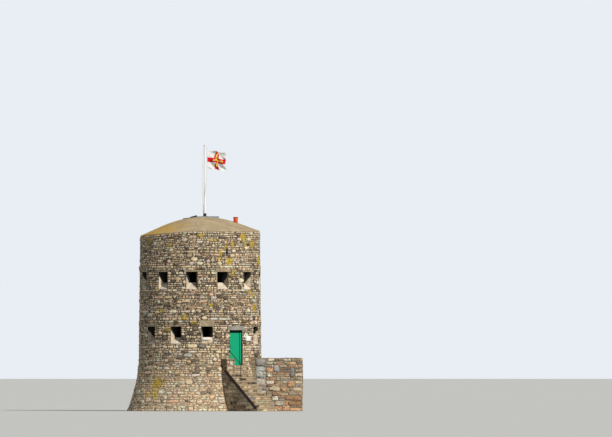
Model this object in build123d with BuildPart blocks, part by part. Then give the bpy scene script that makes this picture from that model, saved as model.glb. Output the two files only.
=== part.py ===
from build123d import *
from math import cos, radians, sin, sqrt
import os

os.makedirs("parts", exist_ok=True)

# A round stone watch tower with two staggered rows of loopholes, an entrance up a flight of
# steps, a shallow concrete cap and a flagpole. The origin is on the tower's axis at the
# lowest ground, +Z is up and -Y faces the viewer. Angles run anticlockwise from +X.

# Levels above the lowest ground
ENTRANCE_FLOOR = 2290
LOWER_SILL = 3370
UPPER_FLOOR = 5000
UPPER_SILL = 6110
WALL_HEAD = 9000

# Tower wall
FOOT_RADIUS = 3670
BODY_RADIUS = 3060
HEAD_RADIUS = 3000
FLARE_HEIGHT = 2900
GROUND_ROOM_RADIUS = 1750
ENTRANCE_ROOM_RADIUS = 1850
UPPER_ROOM_RADIUS = 1950
WALL_SEGMENTS = 3
SEGMENT_ARC = 360 / WALL_SEGMENTS

# Loopholes
LOOPHOLE_COUNT = 12
LOOPHOLE_STEP = 360 / LOOPHOLE_COUNT
LOOPHOLE_WIDTH = 570
LOOPHOLE_HEIGHT = 870
THROAT_WIDTH = 290
THROAT_HEIGHT = 540
THROAT_DEPTH = 420
THROAT_LENGTH = 60
EMBRASURE_WIDTH = 640
SILL_LIP = 25
LINTEL_HEIGHT = 310
LINTEL_DEPTH = 430
LINTEL_BEARING = 105
UPPER_ROW_ANGLE = -98

# Doorway
DOOR_ANGLE = -53.4
DOORWAY_WIDTH = 770
DOORWAY_HEIGHT = 1770
REVEAL_DEPTH = 260
PASSAGE_WIDTH = 1010
PASSAGE_INNER_WIDTH = 1200
DOOR_LINTEL_HEIGHT = 210
DOOR_LINTEL_BEARING = 130
THRESHOLD_THICKNESS = 120

# Door frame and leaf
FRAME_RECESS = 130
FRAME_WIDTH = 55
FRAME_DEPTH = 100
STOP_WIDTH = 15
STOP_DEPTH = 55
LEAF_THICKNESS = 40
LEAF_GAP_HINGE = 5
LEAF_GAP_LATCH = 11
LEAF_GAP_STOP = 5
LEAF_GAP_HEAD = 7
LEAF_GAP_SILL = 10
LEDGE_COUNT = 3
LEDGE_HEIGHT = 120
LEDGE_THICKNESS = 30
LEDGE_MARGIN = 40
LEDGE_END_OFFSET = 200

# Door hinges: a pin on the frame and an eyed band across the ledges
PIN_RADIUS = 6
PIN_CLEARANCE = 0.5
EYE_RADIUS = 13
BAND_THICKNESS = 8
BAND_HEIGHT = 45
BAND_LENGTH = 480
PIN_OFFSET = 12
PINTLE_REST_HEIGHT = 40
PINTLE_REST_GAP = 0.5
PINTLE_PLATE_THICKNESS = 8
PINTLE_PLATE_HEIGHT = 130

# Door handle
HANDLE_HEIGHT = 950
HANDLE_SPAN = 130
HANDLE_REACH = 45
HANDLE_BAR_RADIUS = 8
HANDLE_STEM_RADIUS = 6
HANDLE_SETBACK = 90

# Timber floors
JOIST_DEPTH = 180
JOIST_WIDTH = 75
JOIST_SPACING = 450
JOIST_PAIRS = 4
DECK_THICKNESS = 30
FLOOR_CLEARANCE = 10
TRAP_LENGTH = 750
TRAP_OFFSET = 775
GROUND_FLOOR_THICKNESS = 100

# Steps and their stub pier, about the doorway's centre line
STEP_COUNT = 12
GOING = 260
TREAD_THICKNESS = 70
NOSING = 25
STAIR_RIGHT = 400
STAIR_LEFT = 870
PIER_PROJECTION = 360
PIER_REACH = BODY_RADIUS + PIER_PROJECTION
PIER_TOP = 2630
PIER_COPING_THICKNESS = 90
PIER_COPING_OVERHANG = 40

# Side wall
SIDE_WALL_LENGTH = 2070
SIDE_WALL_START = GROUND_ROOM_RADIUS
SIDE_WALL_END = BODY_RADIUS + SIDE_WALL_LENGTH
SIDE_WALL_SETBACK = 1310
SIDE_WALL_FRONT = SIDE_WALL_SETBACK - BODY_RADIUS
SIDE_WALL_THICKNESS = 650
SIDE_WALL_HEIGHT = 2640

# Settlement at the left: the cap leans and the wall head falls away
CAP_LEAN = 4.2
HEAD_FALL_START = -500
HEAD_FALL_ANGLE = 5.6

# Drain slit in the wall head
SLIT_ANGLE = -63.5
SLIT_BOTTOM = 7790
SLIT_WIDTH = 70
SLIT_HEIGHT = 390
SLIT_DEPTH = 260

# Concrete cap
CAP_RIM_RADIUS = 2990
CAP_RIM_THICKNESS = 60
CAP_FOOT = -1200
CAP_DOME_RADIUS = 5850
CAP_DOME_ANGLE = 20
CAP_SLOPE = sin(radians(CAP_DOME_ANGLE)) / cos(radians(CAP_DOME_ANGLE))
CAP_BEND_RADIUS = CAP_DOME_RADIUS * sin(radians(CAP_DOME_ANGLE))
CAP_BEND_DROP = CAP_DOME_RADIUS * (1 - cos(radians(CAP_DOME_ANGLE)))
CAP_SOFFIT_RISE = 520

# Plinth, hatch and chimney pot on the cap, with their heights above the wall head
PLINTH_X = 400
PLINTH_LENGTH = 1100
PLINTH_WIDTH = 900
PLINTH_RISE = 790
PLINTH_TOP = WALL_HEAD + PLINTH_RISE
HATCH_LENGTH = 700
HATCH_GAP = 10
HATCH_X = PLINTH_X - PLINTH_LENGTH / 2 - HATCH_GAP - HATCH_LENGTH / 2
HATCH_WIDTH = 760
HATCH_RISE = 850
HATCH_TOP = WALL_HEAD + HATCH_RISE
HATCH_TILT = 16
HATCH_STEP = 25
HATCH_FALL = 45
CHIMNEY_X = 1790
CHIMNEY_Y = -500
CHIMNEY_RADIUS = 110
CHIMNEY_WALL = 22
CHIMNEY_LIP = 18
CHIMNEY_LIP_HEIGHT = 45
CHIMNEY_RISE = 750
CHIMNEY_TOP = WALL_HEAD + CHIMNEY_RISE

# Flagpole
POLE_X = 240
POLE_LENGTH = 3570
POLE_TOP = PLINTH_TOP + POLE_LENGTH
POLE_FOOT_RADIUS = 55
POLE_TIP_RADIUS = 33
SHOE_FLANGE_RADIUS = 130
SHOE_FLANGE_THICKNESS = 20
SHOE_COLLAR_RADIUS = 80
SHOE_COLLAR_HEIGHT = 150
TRUCK_RADIUS = 62
TRUCK_HEIGHT = 40
CLEAT_RISE = 250
CLEAT_HEIGHT = PLINTH_TOP + CLEAT_RISE
CLEAT_LENGTH = 170
CLEAT_BAR_RADIUS = 9
CLEAT_STANDOFF = 28

# Halyard and flag
HALYARD_RADIUS = 6
HALYARD_BOW = 166
HALYARD_DROP = 100
HALYARD_SWING = 75
HALYARD_BELLY = 95
HALYARD_RISES = (0.6, 0.3)
BELAY_OFFSET = 20
HOIST_OFFSET = 110
HOIST_TAIL = 60
FLAG_LENGTH = 1370
FLAG_HEIGHT = 915
FLAG_THICKNESS = 10
FLAG_WAVES = 2
FLAG_WAVE_DEPTH = 60
HEADING_RADIUS = 9
FLAG_DROP = 250
FLAG_TOP = POLE_TOP - FLAG_DROP
FLAG_ANGLE = 40

# Clearance left between seated pieces
JOINT = 0.3

# Levels and places worked out from the sizes above
LOWER_HEAD = LOWER_SILL + LOOPHOLE_HEIGHT
UPPER_HEAD = UPPER_SILL + LOOPHOLE_HEIGHT
ENTRANCE_LEDGE = ENTRANCE_FLOOR - DECK_THICKNESS - JOIST_DEPTH
UPPER_LEDGE = UPPER_FLOOR - DECK_THICKNESS - JOIST_DEPTH
DOOR_HEAD = ENTRANCE_FLOOR + DOORWAY_HEIGHT
RISER = ENTRANCE_FLOOR / STEP_COUNT
LOWER_ROW_ANGLE = DOOR_ANGLE + LOOPHOLE_STEP
LOWER_JOINT = DOOR_ANGLE + LOOPHOLE_STEP / 2
UPPER_JOINT = UPPER_ROW_ANGLE + LOOPHOLE_STEP / 2
FAR_OUT = 2 * FOOT_RADIUS


def outer_radius(height):
    """Radius of the wall's outer face: a flared foot below a slightly battered body."""
    if height >= FLARE_HEIGHT:
        share = (height - FLARE_HEIGHT) / (WALL_HEAD - FLARE_HEIGHT)
        return BODY_RADIUS + share * (HEAD_RADIUS - BODY_RADIUS)
    spread = FOOT_RADIUS - BODY_RADIUS
    sweep_radius = (FLARE_HEIGHT**2 + spread**2) / (2 * spread)
    return BODY_RADIUS + sweep_radius - sqrt(sweep_radius**2 - (FLARE_HEIGHT - height) ** 2)


def section_plane(angle, across=0):
    """Upright plane through the axis: x runs outwards, y runs up."""
    outwards = Vector(cos(radians(angle)), sin(radians(angle)), 0)
    leftwards = Vector(sin(radians(angle)), -cos(radians(angle)), 0)
    return Plane(origin=leftwards * -across, x_dir=outwards, z_dir=leftwards)


def plan_plane(angle, height):
    """Level plane: x runs outwards at the angle, y runs anticlockwise round the tower."""
    outwards = Vector(cos(radians(angle)), sin(radians(angle)), 0)
    return Plane(origin=(0, 0, height), x_dir=outwards, z_dir=(0, 0, 1))


def face_plane(angle, distance):
    """Upright plane facing outwards at a distance from the axis: y runs up."""
    outwards = Vector(cos(radians(angle)), sin(radians(angle)), 0)
    across = Vector(-sin(radians(angle)), cos(radians(angle)), 0)
    return Plane(origin=outwards * distance, x_dir=across, z_dir=outwards)


def wall_section(angle, bottom, top, inner_radius, ledge=None, set_back=0):
    """Face of the wall between two levels, with the ledge that carries a floor."""
    with BuildSketch(section_plane(angle)) as section:
        with BuildLine():
            Polyline((0, WALL_HEAD), (0, 0), (FOOT_RADIUS, 0))
            TangentArc((BODY_RADIUS, FLARE_HEIGHT), (FOOT_RADIUS, 0), tangent=(0, -1))
            Polyline((BODY_RADIUS, FLARE_HEIGHT), (HEAD_RADIUS, WALL_HEAD), (0, WALL_HEAD))
        make_face()
        with Locations((inner_radius, bottom)):
            Rectangle(FAR_OUT, top - bottom, align=Align.MIN, mode=Mode.INTERSECT)
        if ledge is not None:
            with Locations((inner_radius, ledge)):
                Rectangle(set_back, top - ledge, align=Align.MIN, mode=Mode.SUBTRACT)
    return section.sketch


def cut_tower(clearance=JOINT):
    """Take the whole round of the tower out of a piece that stands against it."""
    with BuildSketch(section_plane(0)) as round_section:
        with BuildLine():
            Polyline((0, WALL_HEAD), (0, 0), (FOOT_RADIUS + clearance, 0))
            TangentArc(
                (BODY_RADIUS + clearance, FLARE_HEIGHT),
                (FOOT_RADIUS + clearance, 0),
                tangent=(0, -1),
            )
            Polyline(
                (BODY_RADIUS + clearance, FLARE_HEIGHT),
                (HEAD_RADIUS + clearance, WALL_HEAD),
                (0, WALL_HEAD),
            )
        make_face()
    revolve(round_section.sketch, axis=Axis.Z, mode=Mode.SUBTRACT)


def row_plans(first_angle, count, height):
    """Plans of a row of loopholes: splayed outside, a narrow throat, flared inside."""
    throat_outer = BODY_RADIUS - THROAT_DEPTH
    throat_inner = throat_outer - THROAT_LENGTH
    mouth = LOOPHOLE_WIDTH / 2
    throat = THROAT_WIDTH / 2
    room = EMBRASURE_WIDTH / 2
    with BuildSketch() as loophole:
        with BuildLine():
            side = Polyline(
                (BODY_RADIUS + THROAT_LENGTH, mouth),
                (BODY_RADIUS, mouth),
                (throat_outer, throat),
                (throat_inner, throat),
                (GROUND_ROOM_RADIUS, room),
            )
            mirror(side, about=Plane.XZ)
            Line((GROUND_ROOM_RADIUS, -room), (GROUND_ROOM_RADIUS, room))
            Line((BODY_RADIUS + THROAT_LENGTH, -mouth), (BODY_RADIUS + THROAT_LENGTH, mouth))
        make_face()
    with BuildSketch(Plane.XY.offset(height)) as row:
        with PolarLocations(0, count, first_angle, count * LOOPHOLE_STEP):
            add(loophole.sketch)
    return row.sketch


def lintel_plans(first_angle, count, height):
    """Plans of the lintels over a row of loopholes, flat-faced and seated in the wall."""
    length = LOOPHOLE_WIDTH + 2 * LINTEL_BEARING
    with BuildSketch(Plane.XY.offset(height)) as row:
        with PolarLocations(outer_radius(height), count, first_angle, count * LOOPHOLE_STEP):
            Rectangle(LINTEL_DEPTH, length, align=(Align.MAX, Align.CENTER))
    return row.sketch


def cut_door_passage():
    """The doorway and the wider passage behind it that the door opens into."""
    step = outer_radius(DOOR_HEAD) - REVEAL_DEPTH
    with BuildSketch() as plan:
        with BuildLine():
            side = Polyline(
                (FOOT_RADIUS, DOORWAY_WIDTH / 2),
                (step, DOORWAY_WIDTH / 2),
                (step, PASSAGE_WIDTH / 2),
                (GROUND_ROOM_RADIUS, PASSAGE_INNER_WIDTH / 2),
            )
            mirror(side, about=Plane.XZ)
            Line((FOOT_RADIUS, -DOORWAY_WIDTH / 2), (FOOT_RADIUS, DOORWAY_WIDTH / 2))
            Line(
                (GROUND_ROOM_RADIUS, -PASSAGE_INNER_WIDTH / 2),
                (GROUND_ROOM_RADIUS, PASSAGE_INNER_WIDTH / 2),
            )
        make_face()
    with BuildSketch(plan_plane(DOOR_ANGLE, ENTRANCE_FLOOR)) as placed:
        add(plan.sketch)
    extrude(placed.sketch, amount=LOWER_HEAD - ENTRANCE_FLOOR, mode=Mode.SUBTRACT)


def door_lintel_block(mode=Mode.ADD):
    """The slab over the doorway, flat-faced, bearing on both jambs."""
    face = outer_radius(DOOR_HEAD)
    length = DOORWAY_WIDTH + 2 * DOOR_LINTEL_BEARING
    with BuildSketch(plan_plane(DOOR_ANGLE, DOOR_HEAD)) as plan:
        with Locations((face, 0)):
            Rectangle(REVEAL_DEPTH, length, align=(Align.MAX, Align.CENTER))
    extrude(plan.sketch, amount=DOOR_LINTEL_HEIGHT, mode=mode)


def threshold_block(mode=Mode.ADD):
    """The stone under the door, flush with the entrance floor."""
    step = outer_radius(DOOR_HEAD) - REVEAL_DEPTH
    with BuildSketch(plan_plane(DOOR_ANGLE, ENTRANCE_FLOOR - THRESHOLD_THICKNESS)) as plan:
        with Locations((step, 0)):
            Rectangle(REVEAL_DEPTH + 2 * NOSING, DOORWAY_WIDTH, align=(Align.MIN, Align.CENTER))
    extrude(plan.sketch, amount=THRESHOLD_THICKNESS, mode=mode)


def finish(part, name):
    """Label a finished piece and write it."""
    part.label = name
    export_step(part, f"parts/{name}.step")


# Tower wall: flared base, cut by the threshold's bed
for number in range(WALL_SEGMENTS):
    with BuildPart() as wall_base:
        joint = LOWER_JOINT + LOOPHOLE_STEP + number * SEGMENT_ARC
        section = wall_section(
            joint,
            0,
            ENTRANCE_FLOOR,
            GROUND_ROOM_RADIUS,
            ENTRANCE_LEDGE,
            ENTRANCE_ROOM_RADIUS - GROUND_ROOM_RADIUS,
        )
        revolve(section, axis=Axis.Z, revolution_arc=SEGMENT_ARC)
        threshold_block(Mode.SUBTRACT)
    finish(wall_base.part, f"wall_base_{number + 1}")

# Tower wall: the course of wall on each side of the doorway, below the lower loopholes
for number in range(WALL_SEGMENTS):
    with BuildPart() as wall_lower:
        section = wall_section(
            DOOR_ANGLE + number * SEGMENT_ARC, ENTRANCE_FLOOR, LOWER_SILL, ENTRANCE_ROOM_RADIUS
        )
        revolve(section, axis=Axis.Z, revolution_arc=SEGMENT_ARC)
        cut_door_passage()
    finish(wall_lower.part, f"wall_lower_{number + 1}")

# Piers between the lower loopholes and the doorway
with BuildPart() as piers_lower:
    revolve(wall_section(0, LOWER_SILL, LOWER_HEAD, ENTRANCE_ROOM_RADIUS), axis=Axis.Z)
    row = row_plans(LOWER_ROW_ANGLE, LOOPHOLE_COUNT - 1, LOWER_SILL)
    extrude(row, amount=LOOPHOLE_HEIGHT, mode=Mode.SUBTRACT)
    cut_door_passage()
    door_lintel_block(Mode.SUBTRACT)
finish(piers_lower.part, "piers_lower")

# Tower wall: the course between the two rows, with the upper floor's ledge
for number in range(WALL_SEGMENTS):
    with BuildPart() as wall_middle:
        section = wall_section(
            LOWER_JOINT + number * SEGMENT_ARC,
            LOWER_HEAD,
            UPPER_SILL,
            ENTRANCE_ROOM_RADIUS,
            UPPER_LEDGE,
            UPPER_ROOM_RADIUS - ENTRANCE_ROOM_RADIUS,
        )
        revolve(section, axis=Axis.Z, revolution_arc=SEGMENT_ARC)
        beds = lintel_plans(LOWER_ROW_ANGLE, LOOPHOLE_COUNT - 1, LOWER_HEAD)
        extrude(beds, amount=LINTEL_HEIGHT, mode=Mode.SUBTRACT)
        door_lintel_block(Mode.SUBTRACT)
    finish(wall_middle.part, f"wall_middle_{number + 1}")

# Piers between the upper loopholes
with BuildPart() as piers_upper:
    revolve(wall_section(0, UPPER_SILL, UPPER_HEAD, UPPER_ROOM_RADIUS), axis=Axis.Z)
    row = row_plans(UPPER_ROW_ANGLE, LOOPHOLE_COUNT, UPPER_SILL)
    extrude(row, amount=LOOPHOLE_HEIGHT, mode=Mode.SUBTRACT)
finish(piers_upper.part, "piers_upper")


def cut_head_fall(mode=Mode.SUBTRACT):
    """Everything above the wall head, which falls away at the left."""
    far_left = -FAR_OUT
    fall = (HEAD_FALL_START - far_left) * sin(radians(HEAD_FALL_ANGLE))
    fall /= cos(radians(HEAD_FALL_ANGLE))
    with BuildSketch(Plane.XZ.offset(-FAR_OUT)) as above:
        with BuildLine():
            Polyline(
                (far_left, WALL_HEAD + FAR_OUT),
                (far_left, WALL_HEAD - fall),
                (HEAD_FALL_START, WALL_HEAD),
                (FAR_OUT, WALL_HEAD),
                (FAR_OUT, WALL_HEAD + FAR_OUT),
                close=True,
            )
        make_face()
    extrude(above.sketch, amount=2 * FAR_OUT, mode=mode)


def cut_drain_slit():
    """The narrow upright slit that drains the roof."""
    with BuildSketch(plan_plane(SLIT_ANGLE, SLIT_BOTTOM)) as plan:
        with Locations((HEAD_RADIUS - SLIT_DEPTH, 0)):
            Rectangle(FAR_OUT, SLIT_WIDTH, align=(Align.MIN, Align.CENTER))
    extrude(plan.sketch, amount=SLIT_HEIGHT, mode=Mode.SUBTRACT)


# Tower wall: the head, from the upper lintels to the cap
for number in range(WALL_SEGMENTS):
    with BuildPart() as wall_head:
        section = wall_section(
            UPPER_JOINT + number * SEGMENT_ARC, UPPER_HEAD, WALL_HEAD, UPPER_ROOM_RADIUS
        )
        revolve(section, axis=Axis.Z, revolution_arc=SEGMENT_ARC)
        beds = lintel_plans(UPPER_ROW_ANGLE, LOOPHOLE_COUNT, UPPER_HEAD)
        extrude(beds, amount=LINTEL_HEIGHT, mode=Mode.SUBTRACT)
        cut_head_fall()
        cut_drain_slit()
    finish(wall_head.part, f"wall_head_{number + 1}")


def sill_section(sill, inner_radius):
    """Section of a loophole's sill: level inside, falling steeply to a low outer lip."""
    throat_sill = sill + LOOPHOLE_HEIGHT - THROAT_HEIGHT
    with BuildSketch(section_plane(0)) as section:
        with BuildLine():
            Polyline(
                (inner_radius, sill),
                (outer_radius(sill), sill),
                (outer_radius(sill + SILL_LIP), sill + SILL_LIP),
                (BODY_RADIUS - THROAT_DEPTH, throat_sill),
                (inner_radius, throat_sill),
                close=True,
            )
        make_face()
    return section.sketch


# One loophole's mouth is walled up as high as its throat
with BuildPart() as patch:
    patch_angle = DOOR_ANGLE - LOOPHOLE_STEP
    patch_height = LOOPHOLE_HEIGHT - THROAT_HEIGHT
    extrude(row_plans(patch_angle, 1, LOWER_SILL), amount=patch_height)
    section = wall_section(
        0, LOWER_SILL, LOWER_SILL + patch_height, BODY_RADIUS - THROAT_DEPTH / 2
    )
    revolve(section, axis=Axis.Z, mode=Mode.INTERSECT)

# Sills and lintels of the lower loopholes
with BuildPart() as sills_lower:
    revolve(sill_section(LOWER_SILL, ENTRANCE_ROOM_RADIUS), axis=Axis.Z)
    row = row_plans(LOWER_ROW_ANGLE, LOOPHOLE_COUNT - 1, LOWER_SILL)
    extrude(row, amount=LOOPHOLE_HEIGHT, mode=Mode.INTERSECT)
    add(patch.part)
finish(sills_lower.part, "sills_lower")

with BuildPart() as lintels_lower:
    extrude(lintel_plans(LOWER_ROW_ANGLE, LOOPHOLE_COUNT - 1, LOWER_HEAD), amount=LINTEL_HEIGHT)
finish(lintels_lower.part, "lintels_lower")

# Sills and lintels of the upper loopholes
with BuildPart() as sills_upper:
    revolve(sill_section(UPPER_SILL, UPPER_ROOM_RADIUS), axis=Axis.Z)
    row = row_plans(UPPER_ROW_ANGLE, LOOPHOLE_COUNT, UPPER_SILL)
    extrude(row, amount=LOOPHOLE_HEIGHT, mode=Mode.INTERSECT)
finish(sills_upper.part, "sills_upper")

with BuildPart() as lintels_upper:
    extrude(lintel_plans(UPPER_ROW_ANGLE, LOOPHOLE_COUNT, UPPER_HEAD), amount=LINTEL_HEIGHT)
finish(lintels_upper.part, "lintels_upper")

# Stone floor of the ground room
with BuildPart() as ground_floor:
    Cylinder(
        GROUND_ROOM_RADIUS - JOINT,
        GROUND_FLOOR_THICKNESS,
        align=(Align.CENTER, Align.CENTER, Align.MIN),
    )
finish(ground_floor.part, "ground_floor")


def joist_plans(ledge, room_radius):
    """Plans of the joists and of the two trimmers beside the trap."""
    trapped_joist = 1.5 * JOIST_SPACING
    trap_width = 2 * JOIST_SPACING - JOIST_WIDTH
    with BuildSketch(Plane.XY.offset(ledge)) as plans:
        with GridLocations(0, JOIST_SPACING, 1, 2 * JOIST_PAIRS):
            Rectangle(2 * room_radius, JOIST_WIDTH)
        with Locations((-TRAP_OFFSET, trapped_joist)):
            Rectangle(TRAP_LENGTH + 2 * (JOIST_WIDTH + JOINT), trap_width, mode=Mode.SUBTRACT)
            with GridLocations(TRAP_LENGTH + JOIST_WIDTH, 0, 2, 1):
                Rectangle(JOIST_WIDTH, trap_width - 2 * JOINT)
        Circle(room_radius - FLOOR_CLEARANCE, mode=Mode.INTERSECT)
    return plans.sketch


def deck_plan(level, room_radius):
    """Plan of a boarded deck with its open trap."""
    trap_width = 2 * JOIST_SPACING - JOIST_WIDTH
    with BuildSketch(Plane.XY.offset(level)) as plan:
        Circle(room_radius - FLOOR_CLEARANCE)
        with Locations((-TRAP_OFFSET, 1.5 * JOIST_SPACING)):
            Rectangle(TRAP_LENGTH, trap_width, mode=Mode.SUBTRACT)
    return plan.sketch


# Timber floors
with BuildPart() as joists_entrance:
    extrude(joist_plans(ENTRANCE_LEDGE, ENTRANCE_ROOM_RADIUS), amount=JOIST_DEPTH)
finish(joists_entrance.part, "joists_entrance")

with BuildPart() as deck_entrance:
    plan = deck_plan(ENTRANCE_FLOOR - DECK_THICKNESS, ENTRANCE_ROOM_RADIUS)
    extrude(plan, amount=DECK_THICKNESS)
finish(deck_entrance.part, "deck_entrance")

with BuildPart() as joists_upper:
    extrude(joist_plans(UPPER_LEDGE, UPPER_ROOM_RADIUS), amount=JOIST_DEPTH)
finish(joists_upper.part, "joists_upper")

with BuildPart() as deck_upper:
    plan = deck_plan(UPPER_FLOOR - DECK_THICKNESS, UPPER_ROOM_RADIUS)
    extrude(plan, amount=DECK_THICKNESS)
finish(deck_upper.part, "deck_upper")

# Doorway: lintel, threshold and frame
with BuildPart() as door_lintel:
    door_lintel_block()
finish(door_lintel.part, "door_lintel")

with BuildPart() as door_threshold:
    threshold_block()
finish(door_threshold.part, "door_threshold")

FRAME_FACE = outer_radius(DOOR_HEAD) - FRAME_RECESS
FRAME_BACK = FRAME_FACE - FRAME_DEPTH
STOP_BACK = FRAME_FACE - STOP_DEPTH
OPENING_WIDTH = DOORWAY_WIDTH - 2 * FRAME_WIDTH
REBATE_WIDTH = OPENING_WIDTH + 2 * STOP_WIDTH
OPENING_HEIGHT = DOORWAY_HEIGHT - FRAME_WIDTH
REBATE_HEIGHT = OPENING_HEIGHT + STOP_WIDTH

with BuildPart() as door_frame:
    with BuildSketch(plan_plane(DOOR_ANGLE, ENTRANCE_FLOOR)):
        with Locations((FRAME_BACK, 0)):
            Rectangle(FRAME_DEPTH, DOORWAY_WIDTH, align=(Align.MIN, Align.CENTER))
    extrude(amount=DOORWAY_HEIGHT)
    with BuildSketch(plan_plane(DOOR_ANGLE, ENTRANCE_FLOOR)):
        with Locations((FRAME_BACK, 0)):
            Rectangle(FRAME_DEPTH, OPENING_WIDTH, align=(Align.MIN, Align.CENTER))
    extrude(amount=OPENING_HEIGHT, mode=Mode.SUBTRACT)
    with BuildSketch(plan_plane(DOOR_ANGLE, ENTRANCE_FLOOR)):
        with Locations((FRAME_BACK, 0)):
            Rectangle(STOP_BACK - FRAME_BACK, REBATE_WIDTH, align=(Align.MIN, Align.CENTER))
    extrude(amount=REBATE_HEIGHT, mode=Mode.SUBTRACT)
finish(door_frame.part, "door_frame")

# Door leaf: boards on three ledges, hung on the right jamb and opening into the passage
LEAF_RIGHT = REBATE_WIDTH / 2 - LEAF_GAP_HINGE
LEAF_LEFT = -REBATE_WIDTH / 2 + LEAF_GAP_LATCH
LEAF_WIDTH = LEAF_RIGHT - LEAF_LEFT
LEAF_FACE = STOP_BACK - LEAF_GAP_STOP
LEAF_BACK = LEAF_FACE - LEAF_THICKNESS
LEAF_FOOT = ENTRANCE_FLOOR + LEAF_GAP_SILL
LEAF_HEIGHT = REBATE_HEIGHT - LEAF_GAP_HEAD - LEAF_GAP_SILL
LEDGE_BACK = LEAF_BACK - LEDGE_THICKNESS
LEDGE_PITCH = (LEAF_HEIGHT - 2 * LEDGE_END_OFFSET) / (LEDGE_COUNT - 1)
LEDGE_LEVELS = [
    LEAF_FOOT + LEDGE_END_OFFSET + number * LEDGE_PITCH for number in range(LEDGE_COUNT)
]

with BuildPart() as door_leaf:
    with BuildSketch(plan_plane(DOOR_ANGLE, LEAF_FOOT)):
        with Locations((LEAF_BACK, LEAF_LEFT)):
            Rectangle(LEAF_THICKNESS, LEAF_WIDTH, align=Align.MIN)
    extrude(amount=LEAF_HEIGHT)
    for level in LEDGE_LEVELS:
        with BuildSketch(plan_plane(DOOR_ANGLE, level - LEDGE_HEIGHT / 2)):
            with Locations((LEDGE_BACK, LEAF_LEFT + LEDGE_MARGIN)):
                Rectangle(LEDGE_THICKNESS, LEAF_WIDTH - 2 * LEDGE_MARGIN, align=Align.MIN)
        extrude(amount=LEDGE_HEIGHT)
finish(door_leaf.part, "door_leaf")

# Hinge bands on the top and bottom ledges, each ending in an eye over its pin
HINGE_LEVELS = [LEDGE_LEVELS[0], LEDGE_LEVELS[-1]]
PIN_ACROSS = LEAF_RIGHT + PIN_OFFSET
PIN_OUT = LEDGE_BACK - BAND_THICKNESS / 2

with BuildPart() as door_bands:
    for level in HINGE_LEVELS:
        with BuildSketch(plan_plane(DOOR_ANGLE, level - BAND_HEIGHT / 2)):
            with Locations((PIN_OUT, PIN_ACROSS)):
                Rectangle(BAND_THICKNESS, BAND_LENGTH, align=(Align.CENTER, Align.MAX))
                Circle(EYE_RADIUS)
                Circle(PIN_RADIUS + PIN_CLEARANCE, mode=Mode.SUBTRACT)
        extrude(amount=BAND_HEIGHT)
finish(door_bands.part, "door_bands")

# Pintles: a plate on the frame, a rest below the eye and the pin through it
with BuildPart() as door_pintles:
    for level in HINGE_LEVELS:
        rest_top = level - BAND_HEIGHT / 2 - PINTLE_REST_GAP
        plate_left = REBATE_WIDTH / 2
        with BuildSketch(plan_plane(DOOR_ANGLE, rest_top - PINTLE_REST_HEIGHT)):
            with Locations((PIN_OUT, PIN_ACROSS)):
                Circle(EYE_RADIUS)
            with Locations((PIN_OUT, plate_left)):
                Rectangle(FRAME_BACK - PIN_OUT, EYE_RADIUS, align=Align.MIN)
        extrude(amount=PINTLE_REST_HEIGHT)
        with BuildSketch(plan_plane(DOOR_ANGLE, rest_top)):
            with Locations((PIN_OUT, PIN_ACROSS)):
                Circle(PIN_RADIUS)
        extrude(amount=BAND_HEIGHT)
        with BuildSketch(plan_plane(DOOR_ANGLE, rest_top - PINTLE_PLATE_HEIGHT)):
            with Locations((FRAME_BACK, plate_left)):
                Rectangle(
                    PINTLE_PLATE_THICKNESS,
                    FRAME_WIDTH - STOP_WIDTH,
                    align=(Align.MAX, Align.MIN),
                )
        extrude(amount=PINTLE_PLATE_HEIGHT)
finish(door_pintles.part, "door_pintles")

# Door handle: a bar on two short stems, on the outside near the latch edge
with BuildPart() as door_handle:
    handle_level = ENTRANCE_FLOOR + HANDLE_HEIGHT
    for end in (-1, 1):
        level = handle_level + end * (HANDLE_SPAN / 2 - HANDLE_BAR_RADIUS)
        with BuildSketch(face_plane(DOOR_ANGLE, LEAF_FACE)):
            with Locations((LEAF_LEFT + HANDLE_SETBACK, level)):
                Circle(HANDLE_STEM_RADIUS)
        extrude(amount=HANDLE_REACH)
    with BuildSketch(plan_plane(DOOR_ANGLE, handle_level - HANDLE_SPAN / 2)):
        with Locations((LEAF_FACE + HANDLE_REACH, LEAF_LEFT + HANDLE_SETBACK)):
            Circle(HANDLE_BAR_RADIUS)
    extrude(amount=HANDLE_SPAN)
finish(door_handle.part, "door_handle")

# Steps: a solid core with a slab on each step, and a stub pier beside the doorway
STAIR_START = outer_radius(ENTRANCE_FLOOR)
STAIR_WIDTH = STAIR_LEFT + STAIR_RIGHT
TREAD_COUNT = STEP_COUNT - 1
PIER_RIGHT = -DOORWAY_WIDTH / 2
PIER_WIDTH = STAIR_LEFT + PIER_RIGHT


def pier_block(mode=Mode.ADD):
    """The stub pier's footprint, from inside the tower wall to its end face."""
    with BuildSketch(plan_plane(DOOR_ANGLE, 0)) as plan:
        with Locations((GROUND_ROOM_RADIUS, PIER_RIGHT)):
            Rectangle(
                PIER_REACH - GROUND_ROOM_RADIUS, PIER_WIDTH, align=(Align.MIN, Align.MAX)
            )
    extrude(plan.sketch, amount=PIER_TOP - PIER_COPING_THICKNESS, mode=mode)


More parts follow.
